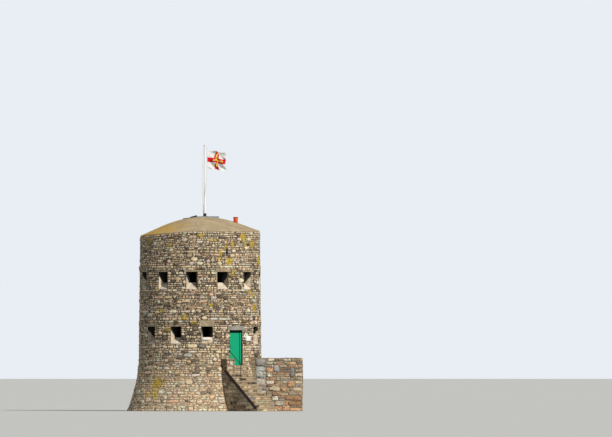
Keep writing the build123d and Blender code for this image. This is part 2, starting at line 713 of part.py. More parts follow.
with BuildPart() as stair_core:
    corners = [(GROUND_ROOM_RADIUS, 0)]
    corners.append((GROUND_ROOM_RADIUS, ENTRANCE_FLOOR - RISER - TREAD_THICKNESS))
    for step in range(1, STEP_COUNT):
        top = ENTRANCE_FLOOR - step * RISER - TREAD_THICKNESS
        corners.append((STAIR_START + step * GOING, top))
        if step < TREAD_COUNT:
            corners.append((STAIR_START + step * GOING, top - RISER))
    corners.append((STAIR_START + TREAD_COUNT * GOING, 0))
    with BuildSketch(section_plane(DOOR_ANGLE, STAIR_RIGHT)):
        with BuildLine():
            Polyline(*corners, close=True)
        make_face()
    extrude(amount=STAIR_WIDTH)
    pier_block(Mode.SUBTRACT)
    cut_tower()
finish(stair_core.part, "stair_core")

with BuildPart() as stair_treads:
    for step in range(1, STEP_COUNT):
        with BuildSketch(section_plane(DOOR_ANGLE, STAIR_RIGHT)):
            with Locations((STAIR_START + (step - 1) * GOING, ENTRANCE_FLOOR - step * RISER)):
                Rectangle(GOING + NOSING, TREAD_THICKNESS, align=(Align.MIN, Align.MAX))
        extrude(amount=STAIR_WIDTH)
    pier_block(Mode.SUBTRACT)
    cut_tower()
finish(stair_treads.part, "stair_treads")

with BuildPart() as stair_pier:
    pier_block()
    cut_tower()
finish(stair_pier.part, "stair_pier")

with BuildPart() as pier_coping:
    with BuildSketch(plan_plane(DOOR_ANGLE, PIER_TOP - PIER_COPING_THICKNESS)):
        with Locations((GROUND_ROOM_RADIUS, PIER_RIGHT)):
            Rectangle(
                PIER_REACH + PIER_COPING_OVERHANG - GROUND_ROOM_RADIUS,
                PIER_WIDTH + PIER_COPING_OVERHANG,
                align=(Align.MIN, Align.MAX),
            )
    extrude(amount=PIER_COPING_THICKNESS)
    cut_tower()
finish(pier_coping.part, "pier_coping")

# Side wall running off to the right of the tower
with BuildPart() as side_wall:
    with Locations((SIDE_WALL_START, SIDE_WALL_FRONT, 0)):
        Box(
            SIDE_WALL_END - SIDE_WALL_START,
            SIDE_WALL_THICKNESS,
            SIDE_WALL_HEIGHT,
            align=Align.MIN,
        )
    cut_tower()
finish(side_wall.part, "side_wall")


def cap_section(clearance, lean, reach):
    """Section under the cap's top face: a shallow dome running out to a straight slope."""
    rim = -CAP_BEND_DROP - (reach - CAP_BEND_RADIUS) * CAP_SLOPE
    foot = rim + CAP_FOOT
    with BuildSketch(cap_plane(clearance, lean)) as section:
        with BuildLine():
            Polyline((0, 0), (0, foot), (reach, foot), (reach, rim))
            straight = Line((reach, rim), (CAP_BEND_RADIUS, -CAP_BEND_DROP))
            TangentArc(straight @ 1, (0, 0), tangent=straight % 1)
        make_face()
    return section.sketch


def cap_plane(clearance, lean):
    """Upright plane on the cap's crown, leaning to the left: y runs up the cap's axis."""
    rise = CAP_BEND_DROP + (CAP_RIM_RADIUS - CAP_BEND_RADIUS) * CAP_SLOPE
    crown = WALL_HEAD + CAP_RIM_THICKNESS + rise + clearance
    return Plane(
        origin=(0, 0, crown), x_dir=(cos(radians(lean)), 0, sin(radians(lean))), z_dir=(0, -1, 0)
    )


def cap_volume(clearance=0):
    """Everything under the cap's top face, which leans away at the left, down to the wall head."""
    revolve(cap_section(clearance, 0, CAP_RIM_RADIUS), axis=Axis.Z)
    leaning = cap_plane(clearance, CAP_LEAN)
    section = cap_section(clearance, CAP_LEAN, FOOT_RADIUS)
    revolve(section, axis=Axis(leaning.origin, leaning.y_dir), mode=Mode.INTERSECT)
    cut_head_fall(Mode.INTERSECT)


# Concrete cap: a domed slab that stands on the wall head
with BuildPart() as roof_cap:
    cap_volume()
    with BuildSketch(section_plane(0)):
        with BuildLine():
            Polyline(
                (0, WALL_HEAD + CAP_SOFFIT_RISE),
                (0, WALL_HEAD - CAP_SOFFIT_RISE),
                (UPPER_ROOM_RADIUS, WALL_HEAD - CAP_SOFFIT_RISE),
                (UPPER_ROOM_RADIUS, WALL_HEAD),
            )
            TangentArc(
                (0, WALL_HEAD + CAP_SOFFIT_RISE), (UPPER_ROOM_RADIUS, WALL_HEAD), tangent=(1, 0)
            )
        make_face()
    revolve(axis=Axis.Z, mode=Mode.SUBTRACT)
finish(roof_cap.part, "roof_cap")

# The cap's volume with the clearance that the pieces standing on it keep
with BuildPart() as cap_bed:
    cap_volume(JOINT)

# Plinth under the flagpole
with BuildPart() as roof_plinth:
    with Locations((PLINTH_X, 0, WALL_HEAD)):
        Box(
            PLINTH_LENGTH,
            PLINTH_WIDTH,
            PLINTH_TOP - WALL_HEAD,
            align=(Align.CENTER, Align.CENTER, Align.MIN),
        )
    add(cap_bed.part, mode=Mode.SUBTRACT)
finish(roof_plinth.part, "roof_plinth")

# Roof hatch: a low leaf, and a raised one beyond a step
HATCH_RUN = HATCH_LENGTH / 2
HATCH_CLIMB = HATCH_RUN * sin(radians(HATCH_TILT)) / cos(radians(HATCH_TILT))

with BuildPart() as roof_hatch:
    with BuildSketch(Plane.XZ.offset(-HATCH_WIDTH / 2)):
        with BuildLine():
            Polyline(
                (HATCH_X - HATCH_RUN, WALL_HEAD),
                (HATCH_X - HATCH_RUN, HATCH_TOP - HATCH_CLIMB - HATCH_STEP - HATCH_FALL),
                (HATCH_X, HATCH_TOP - HATCH_CLIMB - HATCH_STEP),
                (HATCH_X, HATCH_TOP - HATCH_CLIMB),
                (HATCH_X + HATCH_RUN, HATCH_TOP),
                (HATCH_X + HATCH_RUN, WALL_HEAD),
                close=True,
            )
        make_face()
    extrude(amount=HATCH_WIDTH)
    add(cap_bed.part, mode=Mode.SUBTRACT)
finish(roof_hatch.part, "roof_hatch")

# Chimney pot
with BuildPart() as chimney_pot:
    with BuildSketch(Plane.XY.offset(WALL_HEAD)):
        with Locations((CHIMNEY_X, CHIMNEY_Y)):
            Circle(CHIMNEY_RADIUS)
    extrude(amount=CHIMNEY_TOP - WALL_HEAD)
    with BuildSketch(Plane.XY.offset(CHIMNEY_TOP - CHIMNEY_LIP_HEIGHT)):
        with Locations((CHIMNEY_X, CHIMNEY_Y)):
            Circle(CHIMNEY_RADIUS + CHIMNEY_LIP)
    extrude(amount=CHIMNEY_LIP_HEIGHT)
    with BuildSketch(Plane.XY.offset(WALL_HEAD)):
        with Locations((CHIMNEY_X, CHIMNEY_Y)):
            Circle(CHIMNEY_RADIUS - CHIMNEY_WALL)
    extrude(amount=CHIMNEY_TOP - WALL_HEAD, mode=Mode.SUBTRACT)
    add(cap_bed.part, mode=Mode.SUBTRACT)
finish(chimney_pot.part, "chimney_pot")


def pole_radius(height):
    """Radius of the tapered pole at a height."""
    share = (height - PLINTH_TOP) / (POLE_TOP - PLINTH_TOP)
    return POLE_FOOT_RADIUS + share * (POLE_TIP_RADIUS - POLE_FOOT_RADIUS)


POLE_SECTION = Plane(origin=(POLE_X, 0, 0), x_dir=(1, 0, 0), z_dir=(0, -1, 0))
POLE_AXIS = Axis((POLE_X, 0, 0), (0, 0, 1))

# Flagpole with its shoe, truck and cleat
with BuildPart() as flagpole:
    with BuildSketch(POLE_SECTION):
        with BuildLine():
            Polyline(
                (0, PLINTH_TOP),
                (POLE_FOOT_RADIUS, PLINTH_TOP),
                (POLE_TIP_RADIUS, POLE_TOP),
                (0, POLE_TOP),
                close=True,
            )
        make_face()
    revolve(axis=POLE_AXIS)
finish(flagpole.part, "flagpole")

with BuildPart() as pole_shoe:
    collar_top = PLINTH_TOP + SHOE_COLLAR_HEIGHT
    with BuildSketch(POLE_SECTION):
        with BuildLine():
            Polyline(
                (POLE_FOOT_RADIUS + JOINT, PLINTH_TOP),
                (SHOE_FLANGE_RADIUS, PLINTH_TOP),
                (SHOE_FLANGE_RADIUS, PLINTH_TOP + SHOE_FLANGE_THICKNESS),
                (SHOE_COLLAR_RADIUS, PLINTH_TOP + SHOE_FLANGE_THICKNESS),
                (SHOE_COLLAR_RADIUS, collar_top),
                (POLE_FOOT_RADIUS + JOINT, collar_top),
                close=True,
            )
        make_face()
    revolve(axis=POLE_AXIS)
finish(pole_shoe.part, "pole_shoe")

with BuildPart() as pole_truck:
    with Locations((POLE_X, 0, POLE_TOP)):
        Cylinder(TRUCK_RADIUS, TRUCK_HEIGHT, align=(Align.CENTER, Align.CENTER, Align.MIN))
    crown = pole_truck.faces().sort_by(Axis.Z)[-1]
    fillet(crown.edges(), TRUCK_HEIGHT / 2)
finish(pole_truck.part, "pole_truck")

with BuildPart() as pole_cleat:
    stem_root = pole_radius(CLEAT_HEIGHT) + JOINT
    bar_out = stem_root + CLEAT_STANDOFF
    with BuildSketch(Plane.XY.offset(CLEAT_HEIGHT - CLEAT_LENGTH / 2)):
        with Locations((POLE_X - bar_out, 0)):
            Circle(CLEAT_BAR_RADIUS)
    extrude(amount=CLEAT_LENGTH)
    with BuildSketch(Plane.YZ.offset(POLE_X - bar_out)):
        with Locations((0, CLEAT_HEIGHT)):
            Circle(CLEAT_BAR_RADIUS)
    extrude(amount=CLEAT_STANDOFF)
finish(pole_cleat.part, "pole_cleat")

# Halyard: one fall bowed to the left of the pole, the other led out to the flag's hoist
FLAG_FOOT = FLAG_TOP - FLAG_HEIGHT
HALYARD_TOP = POLE_TOP - JOINT
HALYARD_FOOT = CLEAT_HEIGHT + CLEAT_LENGTH / 2 + HALYARD_RADIUS
CLEAT_X = POLE_X - pole_radius(CLEAT_HEIGHT) - JOINT - CLEAT_STANDOFF
HOIST_X = POLE_X + HOIST_OFFSET
HOIST_FOOT = FLAG_FOOT - HOIST_TAIL
TAIL_RISE = HOIST_FOOT - HALYARD_FOOT
SHEAVE_OUT = TRUCK_RADIUS - 2 * HALYARD_RADIUS
LEFT_FALL = [
    (POLE_X - SHEAVE_OUT, 0, HALYARD_TOP),
    (POLE_X - SHEAVE_OUT, 0, HALYARD_TOP - HALYARD_DROP),
    (POLE_X - HALYARD_BOW, 0, (HALYARD_TOP + HALYARD_FOOT) / 2),
    (CLEAT_X, 0, HALYARD_FOOT),
]
LEFT_FALL_RADII = [1500, 9000]
RIGHT_FALL = [
    (POLE_X + SHEAVE_OUT, 0, HALYARD_TOP),
    (POLE_X + SHEAVE_OUT, 0, HALYARD_TOP - HALYARD_DROP / 2),
    (HOIST_X, 0, FLAG_TOP + HALYARD_DROP / 2),
    (HOIST_X, 0, HOIST_FOOT),
    (POLE_X + HALYARD_SWING, -HALYARD_SWING, HALYARD_FOOT + HALYARD_RISES[0] * TAIL_RISE),
    (POLE_X - BELAY_OFFSET, -HALYARD_BELLY, HALYARD_FOOT + HALYARD_RISES[1] * TAIL_RISE),
    (CLEAT_X, -BELAY_OFFSET, HALYARD_FOOT),
]
RIGHT_FALL_RADII = [100, 100, 2500, 900, 700]

with BuildPart() as halyard:
    for route, radii in ((LEFT_FALL, LEFT_FALL_RADII), (RIGHT_FALL, RIGHT_FALL_RADII)):
        with BuildLine() as fall:
            FilletPolyline(*route, radius=radii)
        with BuildSketch(Plane(fall.line @ 0, z_dir=fall.line % 0)):
            Circle(HALYARD_RADIUS)
        sweep(path=fall.line)
finish(halyard.part, "halyard")

# Flag: a closed slab in gentle waves, flying from a roped heading
HEADING_X = HOIST_X + HALYARD_RADIUS + JOINT + HEADING_RADIUS
FLAG_PLANE = Plane(
    origin=(HEADING_X, 0, FLAG_FOOT),
    x_dir=(cos(radians(FLAG_ANGLE)), sin(radians(FLAG_ANGLE)), 0),
    z_dir=(0, 0, 1),
)
HALF_WAVES = 2 * FLAG_WAVES
FLAG_RUN = FLAG_LENGTH * (1 - (HALF_WAVES * FLAG_WAVE_DEPTH / FLAG_LENGTH) ** 2)
WAVE_POINTS = [(0, 0)]
for number in range(HALF_WAVES):
    side = FLAG_WAVE_DEPTH * (-1) ** number
    WAVE_POINTS.append((FLAG_RUN * (number + 0.5) / HALF_WAVES, side))
WAVE_POINTS.append((FLAG_RUN, 0))

with BuildPart() as flag:
    with BuildSketch(FLAG_PLANE):
        with BuildLine() as wave:
            Spline(*WAVE_POINTS)
        trace(line_width=FLAG_THICKNESS)
        Circle(HEADING_RADIUS)
    extrude(amount=FLAG_HEIGHT)
finish(flag.part, "flag")
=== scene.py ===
import math

import bpy
import numpy as np
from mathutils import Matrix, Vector


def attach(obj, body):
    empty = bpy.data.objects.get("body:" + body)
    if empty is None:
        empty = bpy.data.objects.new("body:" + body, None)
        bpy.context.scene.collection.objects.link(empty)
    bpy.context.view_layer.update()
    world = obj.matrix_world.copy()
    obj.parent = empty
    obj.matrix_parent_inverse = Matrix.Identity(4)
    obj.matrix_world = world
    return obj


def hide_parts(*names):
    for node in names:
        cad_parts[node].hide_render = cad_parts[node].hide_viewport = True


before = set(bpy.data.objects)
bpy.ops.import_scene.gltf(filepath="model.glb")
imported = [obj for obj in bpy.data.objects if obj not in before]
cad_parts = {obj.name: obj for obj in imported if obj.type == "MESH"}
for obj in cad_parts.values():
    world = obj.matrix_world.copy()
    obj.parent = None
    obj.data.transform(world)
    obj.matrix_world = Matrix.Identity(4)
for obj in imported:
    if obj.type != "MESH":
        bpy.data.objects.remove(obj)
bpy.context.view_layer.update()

# A round rubble tower in metres. Angles run anticlockwise from +X, and -Y faces the camera.
FOOT_RADIUS = 3.67
BODY_RADIUS = 3.06
HEAD_RADIUS = 3.0
FLARE_HEIGHT = 2.9
WALL_HEAD = 9.0
ENTRANCE_FLOOR = 2.29
LOWER_SILL = 3.37
LOWER_HEAD = 4.24
UPPER_SILL = 6.11
UPPER_HEAD = 6.98
LINTEL_HEIGHT = 0.31
LINTEL_LENGTH = 0.78
LOOPHOLE_WIDTH = 0.57
SPLAY_DEPTH = 0.42
DOOR_ANGLE = -53.4
DOORWAY_WIDTH = 0.77
DOOR_HEAD = 4.06
DOOR_LINTEL_TOP = 4.27
DOOR_LINTEL_LENGTH = 1.03
UPPER_ROW_ANGLE = -98.0
ROW_STEP = 30
LOWER_ROW_ANGLE = DOOR_ANGLE + ROW_STEP
STEP_COUNT = 12
RISER = ENTRANCE_FLOOR / STEP_COUNT
GOING = 0.26
TREAD = 0.07
STAIR_LEFT = 0.87
STAIR_RIGHT = 0.4
PIER_REACH = 3.42
PIER_TOP = 2.54
SIDE_START = 2.79
SIDE_END = 5.13
SIDE_FRONT = -1.75
SIDE_THICKNESS = 0.65
SIDE_HEIGHT = 2.64
HEAD_FALL_START = -0.5
HEAD_FALL = math.tan(math.radians(5.6))
SLIT_ANGLE = -63.5
SLIT_BOTTOM = 7.79
SLIT_HEIGHT = 0.39
SLIT_WIDTH = 0.07
SILL_SLAB = 0.145
PATCH_ANGLE = DOOR_ANGLE - ROW_STEP
PATCH_TOP = 3.7
FLOOR_BOARD = 0.16
BOARD_ANGLE = -37.7
BOARD_WIDTH = 0.35
BOARD_BOTTOM = 3.5
BOARD_TOP = 3.77

# Stones are laid out along a ring of this length, and heights stay heights
RING = 2 * math.pi * 3.03


def outer_radius(height):
    """Radius of the wall's outer face at a height or an array of heights."""
    height = np.asarray(height, dtype=float)
    body = BODY_RADIUS + (height - FLARE_HEIGHT) / (WALL_HEAD - FLARE_HEIGHT) * (HEAD_RADIUS - BODY_RADIUS)
    spread = FOOT_RADIUS - BODY_RADIUS
    sweep = (FLARE_HEIGHT**2 + spread**2) / (2 * spread)
    drop = np.clip(FLARE_HEIGHT - height, 0, FLARE_HEIGHT)
    foot = BODY_RADIUS + sweep - np.sqrt(sweep**2 - drop**2)
    return np.where(height >= FLARE_HEIGHT, body, foot)


class Shader:
    """A material's node tree with short calls for the nodes used here."""

    def __init__(self, name, roughness, metallic=0.0, gloss=0.25):
        self.material = bpy.data.materials.new(name)
        self.material.use_nodes = True
        self.tree = self.material.node_tree
        self.surface = self.tree.nodes["Principled BSDF"]
        self.put(self.surface, {"Roughness": roughness, "Metallic": metallic, "Specular IOR Level": gloss})
        self.position = self.make("ShaderNodeTexCoord", {}, "Object")

    def put(self, node, inputs):
        """Link or write values to a node's inputs, given by name or number."""
        for key, value in inputs.items():
            socket = node.inputs[key]
            if isinstance(value, bpy.types.NodeSocket):
                self.tree.links.new(value, socket)
            else:
                socket.default_value = value

    def make(self, kind, inputs, output, **settings):
        """One output of a new node."""
        made = self.tree.nodes.new(kind)
        for key, value in settings.items():
            setattr(made, key, value)
        self.put(made, inputs)
        return made.outputs[output]

    def stretched(self, scale):
        """The surface point, stretched where a scale is given."""
        if scale is None:
            return self.position
        return self.make("ShaderNodeMapping", {"Vector": self.position, "Scale": scale}, "Vector")

    def noise(self, scale, detail=3.0, rough=0.55, stretch=None, distortion=0.0):
        inputs = {"Scale": scale, "Detail": detail, "Roughness": rough, "Distortion": distortion}
        return self.make("ShaderNodeTexNoise", {"Vector": self.stretched(stretch), **inputs}, "Fac")

    def mottle(self, low, high, *noise):
        """Noise spread between two values."""
        return self.ramp(self.noise(*noise), 0.3, 0.7, low, high)

    def stain(self, colour, tint, noise, low, high, most):
        """A tint laid over a colour where noise rises from low to high."""
        return self.mix(self.ramp(self.noise(*noise), low, high, 0.0, most), colour, tint)

    def cells(self, scale, feature="F1", stretch=None, output="Distance"):
        inputs = {"Vector": self.stretched(stretch), "Scale": scale}
        return self.make("ShaderNodeTexVoronoi", inputs, output, feature=feature)

    def wave(self, scale, direction, place):
        inputs = {"Vector": place, "Scale": scale}
        return self.make("ShaderNodeTexWave", inputs, "Fac", wave_type="BANDS", bands_direction=direction)

    def ramp(self, value, low, high, start=0.0, end=1.0):
        """Value from low to high, mapped to start..end and clamped."""
        inputs = {"Value": value, "From Min": low, "From Max": high, "To Min": start, "To Max": end}
        return self.make("ShaderNodeMapRange", inputs, "Result")

    def math(self, a, b, operation="ADD"):
        return self.make("ShaderNodeMath", {0: a, 1: b}, 0, operation=operation)

    def vector(self, operation, a, b=(0, 0, 0), output="Vector"):
        return self.make("ShaderNodeVectorMath", {0: a, 1: b}, output, operation=operation)

    def axis(self, name, place=None):
        """X, Y or Z of a place, which is the surface point unless another is given."""
        return self.make("ShaderNodeSeparateXYZ", {0: self.position if place is None else place}, name)

    def mix(self, factor, a, b, blend="MIX"):
        """Two colours mixed. Inputs 6 and 7 and output 2 are the mix node's colour ones."""
        return self.make("ShaderNodeMix", {0: factor, 6: a, 7: b}, 2, data_type="RGBA", blend_type=blend)

    def shade(self, colour, factor):
        """Colour multiplied by a grey factor."""
        grey = self.make("ShaderNodeCombineColor", {0: factor, 1: factor, 2: factor}, 0)
        return self.mix(1.0, colour, grey, "MULTIPLY")

    def bump(self, height, distance, below=None):
        inputs = {"Height": height, "Distance": distance}
        if below is not None:
            inputs["Normal"] = below
        return self.make("ShaderNodeBump", inputs, "Normal")

    def finish(self, colour, roughness, normal=None):
        self.put(self.surface, {"Base Color": colour, "Roughness": roughness})
        if normal is not None:
            self.put(self.surface, {"Normal": normal})
        return self.material


def srgb(red, green, blue):
    """A written colour, 0 to 255, as the linear value a socket takes."""
    linear = []
    for part in (red, green, blue):
        part /= 255
        linear.append(part / 12.92 if part <= 0.04045 else ((part + 0.055) / 1.055) ** 2.4)
    return (*linear, 1.0)


# Yellow lichen: centre x, y, z and reach of each spot
LICHEN_SPOTS = [
    (-2.14, -2.41, 1.39, 0.42),
    (-2.28, -2.47, 0.84, 0.27),
    (-2.62, -2.1, 0.8, 0.18),
    (2.17, -2.1, 8.71, 0.26),
    (2.61, -1.5, 8.39, 0.26),
    (1.03, -2.82, 7.95, 0.16),
    (1.46, -2.64, 7.5, 0.22),
    (2.95, -0.6, 7.57, 0.4),
    (0.03, -3.01, 8.83, 0.16),
    (1.29, -2.72, 8.22, 0.12),
    (1.62, -2.54, 8.37, 0.13),
    (1.69, -2.52, 6.9, 0.2),
    (2.4, -1.86, 6.17, 0.16),
    (-0.76, -2.94, 4.7, 0.18),
    (-0.28, -3.03, 4.43, 0.14),
    (-1.59, -2.6, 4.12, 0.16),
    (-1.55, -2.58, 8.29, 0.12),
    (2.72, -1.38, 5.22, 0.22),
    (-2.6, -1.6, 8.6, 0.2),
    (0.55, -2.98, 5.3, 0.12),
    (2.2, 2.1, 7.9, 0.5),
    (-1.4, 2.7, 7.2, 0.4),
    (-2.9, 0.6, 8.0, 0.45),
    (0.6, 3.0, 2.4, 0.4),
    (1.7, 3.0, 1.0, 0.4),
    (-3.0, 1.9, 0.9, 0.4),
    (0.55, -2.95, 8.58, 0.1),
    (0.8, -2.9, 8.56, 0.1),
    (2.3, -1.95, 8.38, 0.12),
    (0.98, -2.84, 7.62, 0.1),
    (2.62, -1.52, 5.78, 0.13),
    (2.52, -1.7, 5.98, 0.15),
    (-0.42, -3.0, 6.3, 0.1),
    (-2.05, -2.2, 6.15, 0.13),
    (2.75, -1.2, 6.7, 0.12),
    (-1.95, -2.3, 5.0, 0.12),
]

LICHEN = srgb(206, 176, 44)
DARK_LICHEN = srgb(160, 132, 38)
PALE_LICHEN = srgb(214, 208, 188)
RUSTY = srgb(188, 144, 102)
OLIVE = srgb(140, 122, 66)


def lichened(sh, colour):
    """Yellow lichen round each spot, broken up by noise: the crusted colour and where the crust is."""
    amount = 0.0
    for x, y, z, reach in LICHEN_SPOTS:
        away = sh.vector("DISTANCE", sh.position, (x, y, z), "Value")
        amount = sh.math(amount, sh.ramp(away, 0.2 * reach, 1.6 * reach, 0.78, 0.0), "MAXIMUM")
    ragged = sh.math(amount, sh.mottle(-0.6, 0.5, 8, 6, 0.8))
    mask = sh.ramp(ragged, 0.34, 0.56, 0.0, 0.9)
    crust = sh.mix(sh.ramp(sh.noise(34, 3), 0.35, 0.65), DARK_LICHEN, LICHEN)
    return sh.mix(mask, colour, crust), mask


def rubble_face():
    """Loose-laid granite: each stone's own colour, grain, weathering, lichen, and painted shade in dark
    hollows.
    """
    sh = Shader("rubble", 0.92)
    tint = sh.make("ShaderNodeVertexColor", {}, "Color", layer_name="stone")
    blotch = sh.mottle(0.66, 1.3, 7.5, 5, 0.7)
    grain = sh.mottle(0.74, 1.24, 70, 3, 0.7)
    colour = sh.shade(tint, sh.math(blotch, grain, "MULTIPLY"))
    crystals = sh.ramp(sh.cells(90), 0.0, 0.16, 0.55, 0.0)
    colour = sh.mix(crystals, colour, srgb(98, 90, 80))
    pits = sh.ramp(sh.noise(13, 5, 0.8), 0.56, 0.63, 1.0, 0.3)
    # Dark hollows: painted shade standing in for deep holes among the stones
    painted_hollow_shade = sh.ramp(sh.noise(7.0, 3, 0.6, (1.0, 1.0, 1.6)), 0.36, 0.43, 0.22, 1.0)
    colour = sh.shade(colour, sh.math(pits, painted_hollow_shade, "MULTIPLY"))
    colour = sh.stain(colour, PALE_LICHEN, (16, 5, 0.8), 0.58, 0.65, 0.6)
    colour = sh.stain(colour, RUSTY, (1.6, 4, 0.6), 0.56, 0.7, 0.4)
    colour = sh.stain(colour, OLIVE, (3.1, 5, 0.7), 0.56, 0.72, 0.4)
    colour, mask = lichened(sh, colour)
    rough = sh.mottle(0.82, 0.98, 18, 4)
    normal = sh.bump(sh.noise(60, 4, 0.7), 0.008)
    normal = sh.bump(sh.noise(12, 4, 0.65), 0.05, normal)
    normal = sh.bump(mask, 0.004, normal)
    return sh.finish(colour, rough, normal)


# The side that the sun is on, and the heights and distances from the axis between which looks change
SUNWARD = (0.6, -0.8, 0.0)
PALE_FOOT = (1.2, 3.6)
SLIT_MOUTH = (2.92, 2.8)
SLIT_END = (2.0, 2.1)
DOOR_HEAD_SHADOW = 3.915
POT_SOOT = (9.66, 9.75)
ABOVE_ALL = 100.0


def level_place(sh):
    """The place seen from above: a vector out from the tower's axis."""
    return sh.vector("MULTIPLY", sh.position, (1, 1, 0))


def radius_of(sh):
    """Distance from the tower's axis."""
    return sh.vector("LENGTH", level_place(sh), output="Value")


def facing(sh, direction):
    """How squarely the surface faces a direction, from -1 to 1."""
    normal = sh.make("ShaderNodeNewGeometry", {}, "Normal")
    return sh.vector("DOT_PRODUCT", normal, direction, "Value")


def mortar_wall():
    """The wall behind the faced stones: dark joints, paler towards the foot, and painted shade inside the
    wall's thickness, as in the slit.
    """
    sh = Shader("mortar_wall", 0.95)
    wide = (1.0, 1.0, 1.9)
    edge = sh.cells(3.4, "DISTANCE_TO_EDGE", wide)
    tone = sh.make("ShaderNodeSeparateColor", {0: sh.cells(3.4, "F1", wide, "Color")}, 0)
    colour = sh.mix(tone, srgb(92, 82, 68), srgb(120, 108, 90))
    joint = sh.ramp(edge, 0.02, 0.07, 1.0, 0.0)
    colour = sh.mix(joint, colour, srgb(68, 60, 50))
    colour = sh.mix(sh.ramp(sh.axis("Z"), *PALE_FOOT, 0.9, 0.0), colour, srgb(168, 149, 122))
    grain = sh.mottle(0.7, 1.2, 45, 4, 0.7)
    colour = sh.shade(colour, grain)
    colour, _ = lichened(sh, colour)
    # Painted shade: darker within the wall's thickness, in the slit and the throats
    radius = radius_of(sh)
    inside = sh.math(sh.ramp(radius, *SLIT_MOUTH), sh.ramp(radius, *SLIT_END), "MULTIPLY")
    colour = sh.shade(colour, sh.ramp(inside, 0, 1, 1.0, 0.2))
    normal = sh.bump(sh.noise(40, 4, 0.7), 0.008)
    normal = sh.bump(sh.ramp(edge, 0.0, 0.09), 0.03, normal)
    return sh.finish(colour, sh.mottle(0.86, 0.98, 20), normal)


def cut_stone(name, light, dark, bump=0.01, pits=0.5):
    """Dressed granite: tooled faces, soft stains, pale flecks."""
    sh = Shader(name, 0.88)
    colour = sh.mix(sh.ramp(sh.noise(4.0, 5, 0.65), 0.32, 0.68), dark, light)
    grain = sh.mottle(0.8, 1.18, 75, 3, 0.7)
    colour = sh.shade(colour, grain)
    colour = sh.shade(colour, sh.ramp(sh.noise(13, 5, 0.8), 0.57, 0.65, 1.0, pits))
    colour = sh.stain(colour, srgb(108, 96, 72), (2.3, 4, 0.6, (1, 1, 0.35)), 0.52, 0.75, 0.5)
    colour = sh.stain(colour, PALE_LICHEN, (26, 4, 0.75), 0.62, 0.69, 0.6)
    tooling = sh.noise(30, 4, 0.65)
    normal = sh.bump(tooling, bump)
    normal = sh.bump(sh.noise(7, 3), bump * 1.5, normal)
    return sh.finish(colour, sh.ramp(tooling, 0.3, 0.7, 0.78, 0.95), normal)


def jamb_stone():
    """Masonry of the loopholes' jambs: limewash with painted shadow, near black above a slanting line from
    the outer head down towards the throat, and painted shade on the faces turned away from the sun."""
    sh = Shader("jamb_stone", 0.9)
    colour = sh.mix(sh.ramp(sh.noise(5.0, 5, 0.7), 0.35, 0.65), srgb(170, 150, 122), srgb(226, 214, 194))
    colour = sh.shade(colour, sh.mottle(0.8, 1.15, 60, 4, 0.7))
    # Painted shadow of the loophole's head: near black where height in the opening and depth together pass a
    # slanting line
    over_lower_sill = sh.math(sh.axis("Z"), LOWER_SILL, "SUBTRACT")
    over_sill = sh.math(over_lower_sill, UPPER_SILL - LOWER_SILL, "MODULO")
    high = sh.math(over_sill, LOWER_HEAD - LOWER_SILL, "DIVIDE")
    deep = sh.ramp(radius_of(sh), BODY_RADIUS, BODY_RADIUS - SPLAY_DEPTH, 0.0, 0.55)
    ragged = sh.math(sh.math(high, deep), sh.mottle(-0.04, 0.04, 9, 4))
    colour = sh.shade(colour, sh.ramp(ragged, 0.76, 0.85, 1.0, 0.035))
    # Painted shade: dark on the faces turned away from the sun
    colour = sh.shade(colour, sh.ramp(facing(sh, SUNWARD), -0.1, 0.25, 0.06, 1.0))
    outwards = sh.vector("NORMALIZE", level_place(sh))
    joints = sh.ramp(facing(sh, outwards), 0.8, 0.92)
    colour = sh.mix(joints, colour, srgb(76, 68, 56))
    normal = sh.bump(sh.noise(30, 4, 0.65), 0.012)
    normal = sh.bump(sh.noise(8, 4), 0.03, normal)
    return sh.finish(colour, sh.mottle(0.84, 0.97, 18), normal)


def wood_grain(sh, dark, light):
    """Grain along X, and the colour that it gives."""
    grain = sh.noise(7, 5, 0.6, (0.6, 9, 9), 0.4)
    return grain, sh.mix(sh.ramp(grain, 0.3, 0.7), dark, light)


def boards():
    """Floor boards along X: a tone for each board and a dark joint between them."""
    sh = Shader("floor_boards", 0.8)
    grain, colour = wood_grain(sh, srgb(92, 70, 48), srgb(146, 118, 84))
    rows = sh.math(sh.axis("Y"), FLOOR_BOARD, "DIVIDE")
    number = sh.math(rows, 0.0, "FLOOR")
    tone = sh.make("ShaderNodeTexWhiteNoise", {"W": number}, "Value", noise_dimensions="1D")
    colour = sh.shade(colour, sh.ramp(tone, 0, 1, 0.75, 1.15))
    from_middle = sh.math(sh.math(rows, number, "SUBTRACT"), 0.5, "SUBTRACT")
    edge = sh.math(from_middle, 0.0, "ABSOLUTE")
    joint = sh.ramp(edge, 0.46, 0.49, 0.0, 1.0)
    colour = sh.mix(joint, colour, srgb(30, 22, 16))
    normal = sh.bump(grain, 0.003)
    normal = sh.bump(sh.ramp(edge, 0.45, 0.49, 1.0, 0.0), 0.006, normal)
    return sh.finish(colour, sh.ramp(grain, 0.3, 0.7, 0.7, 0.9), normal)


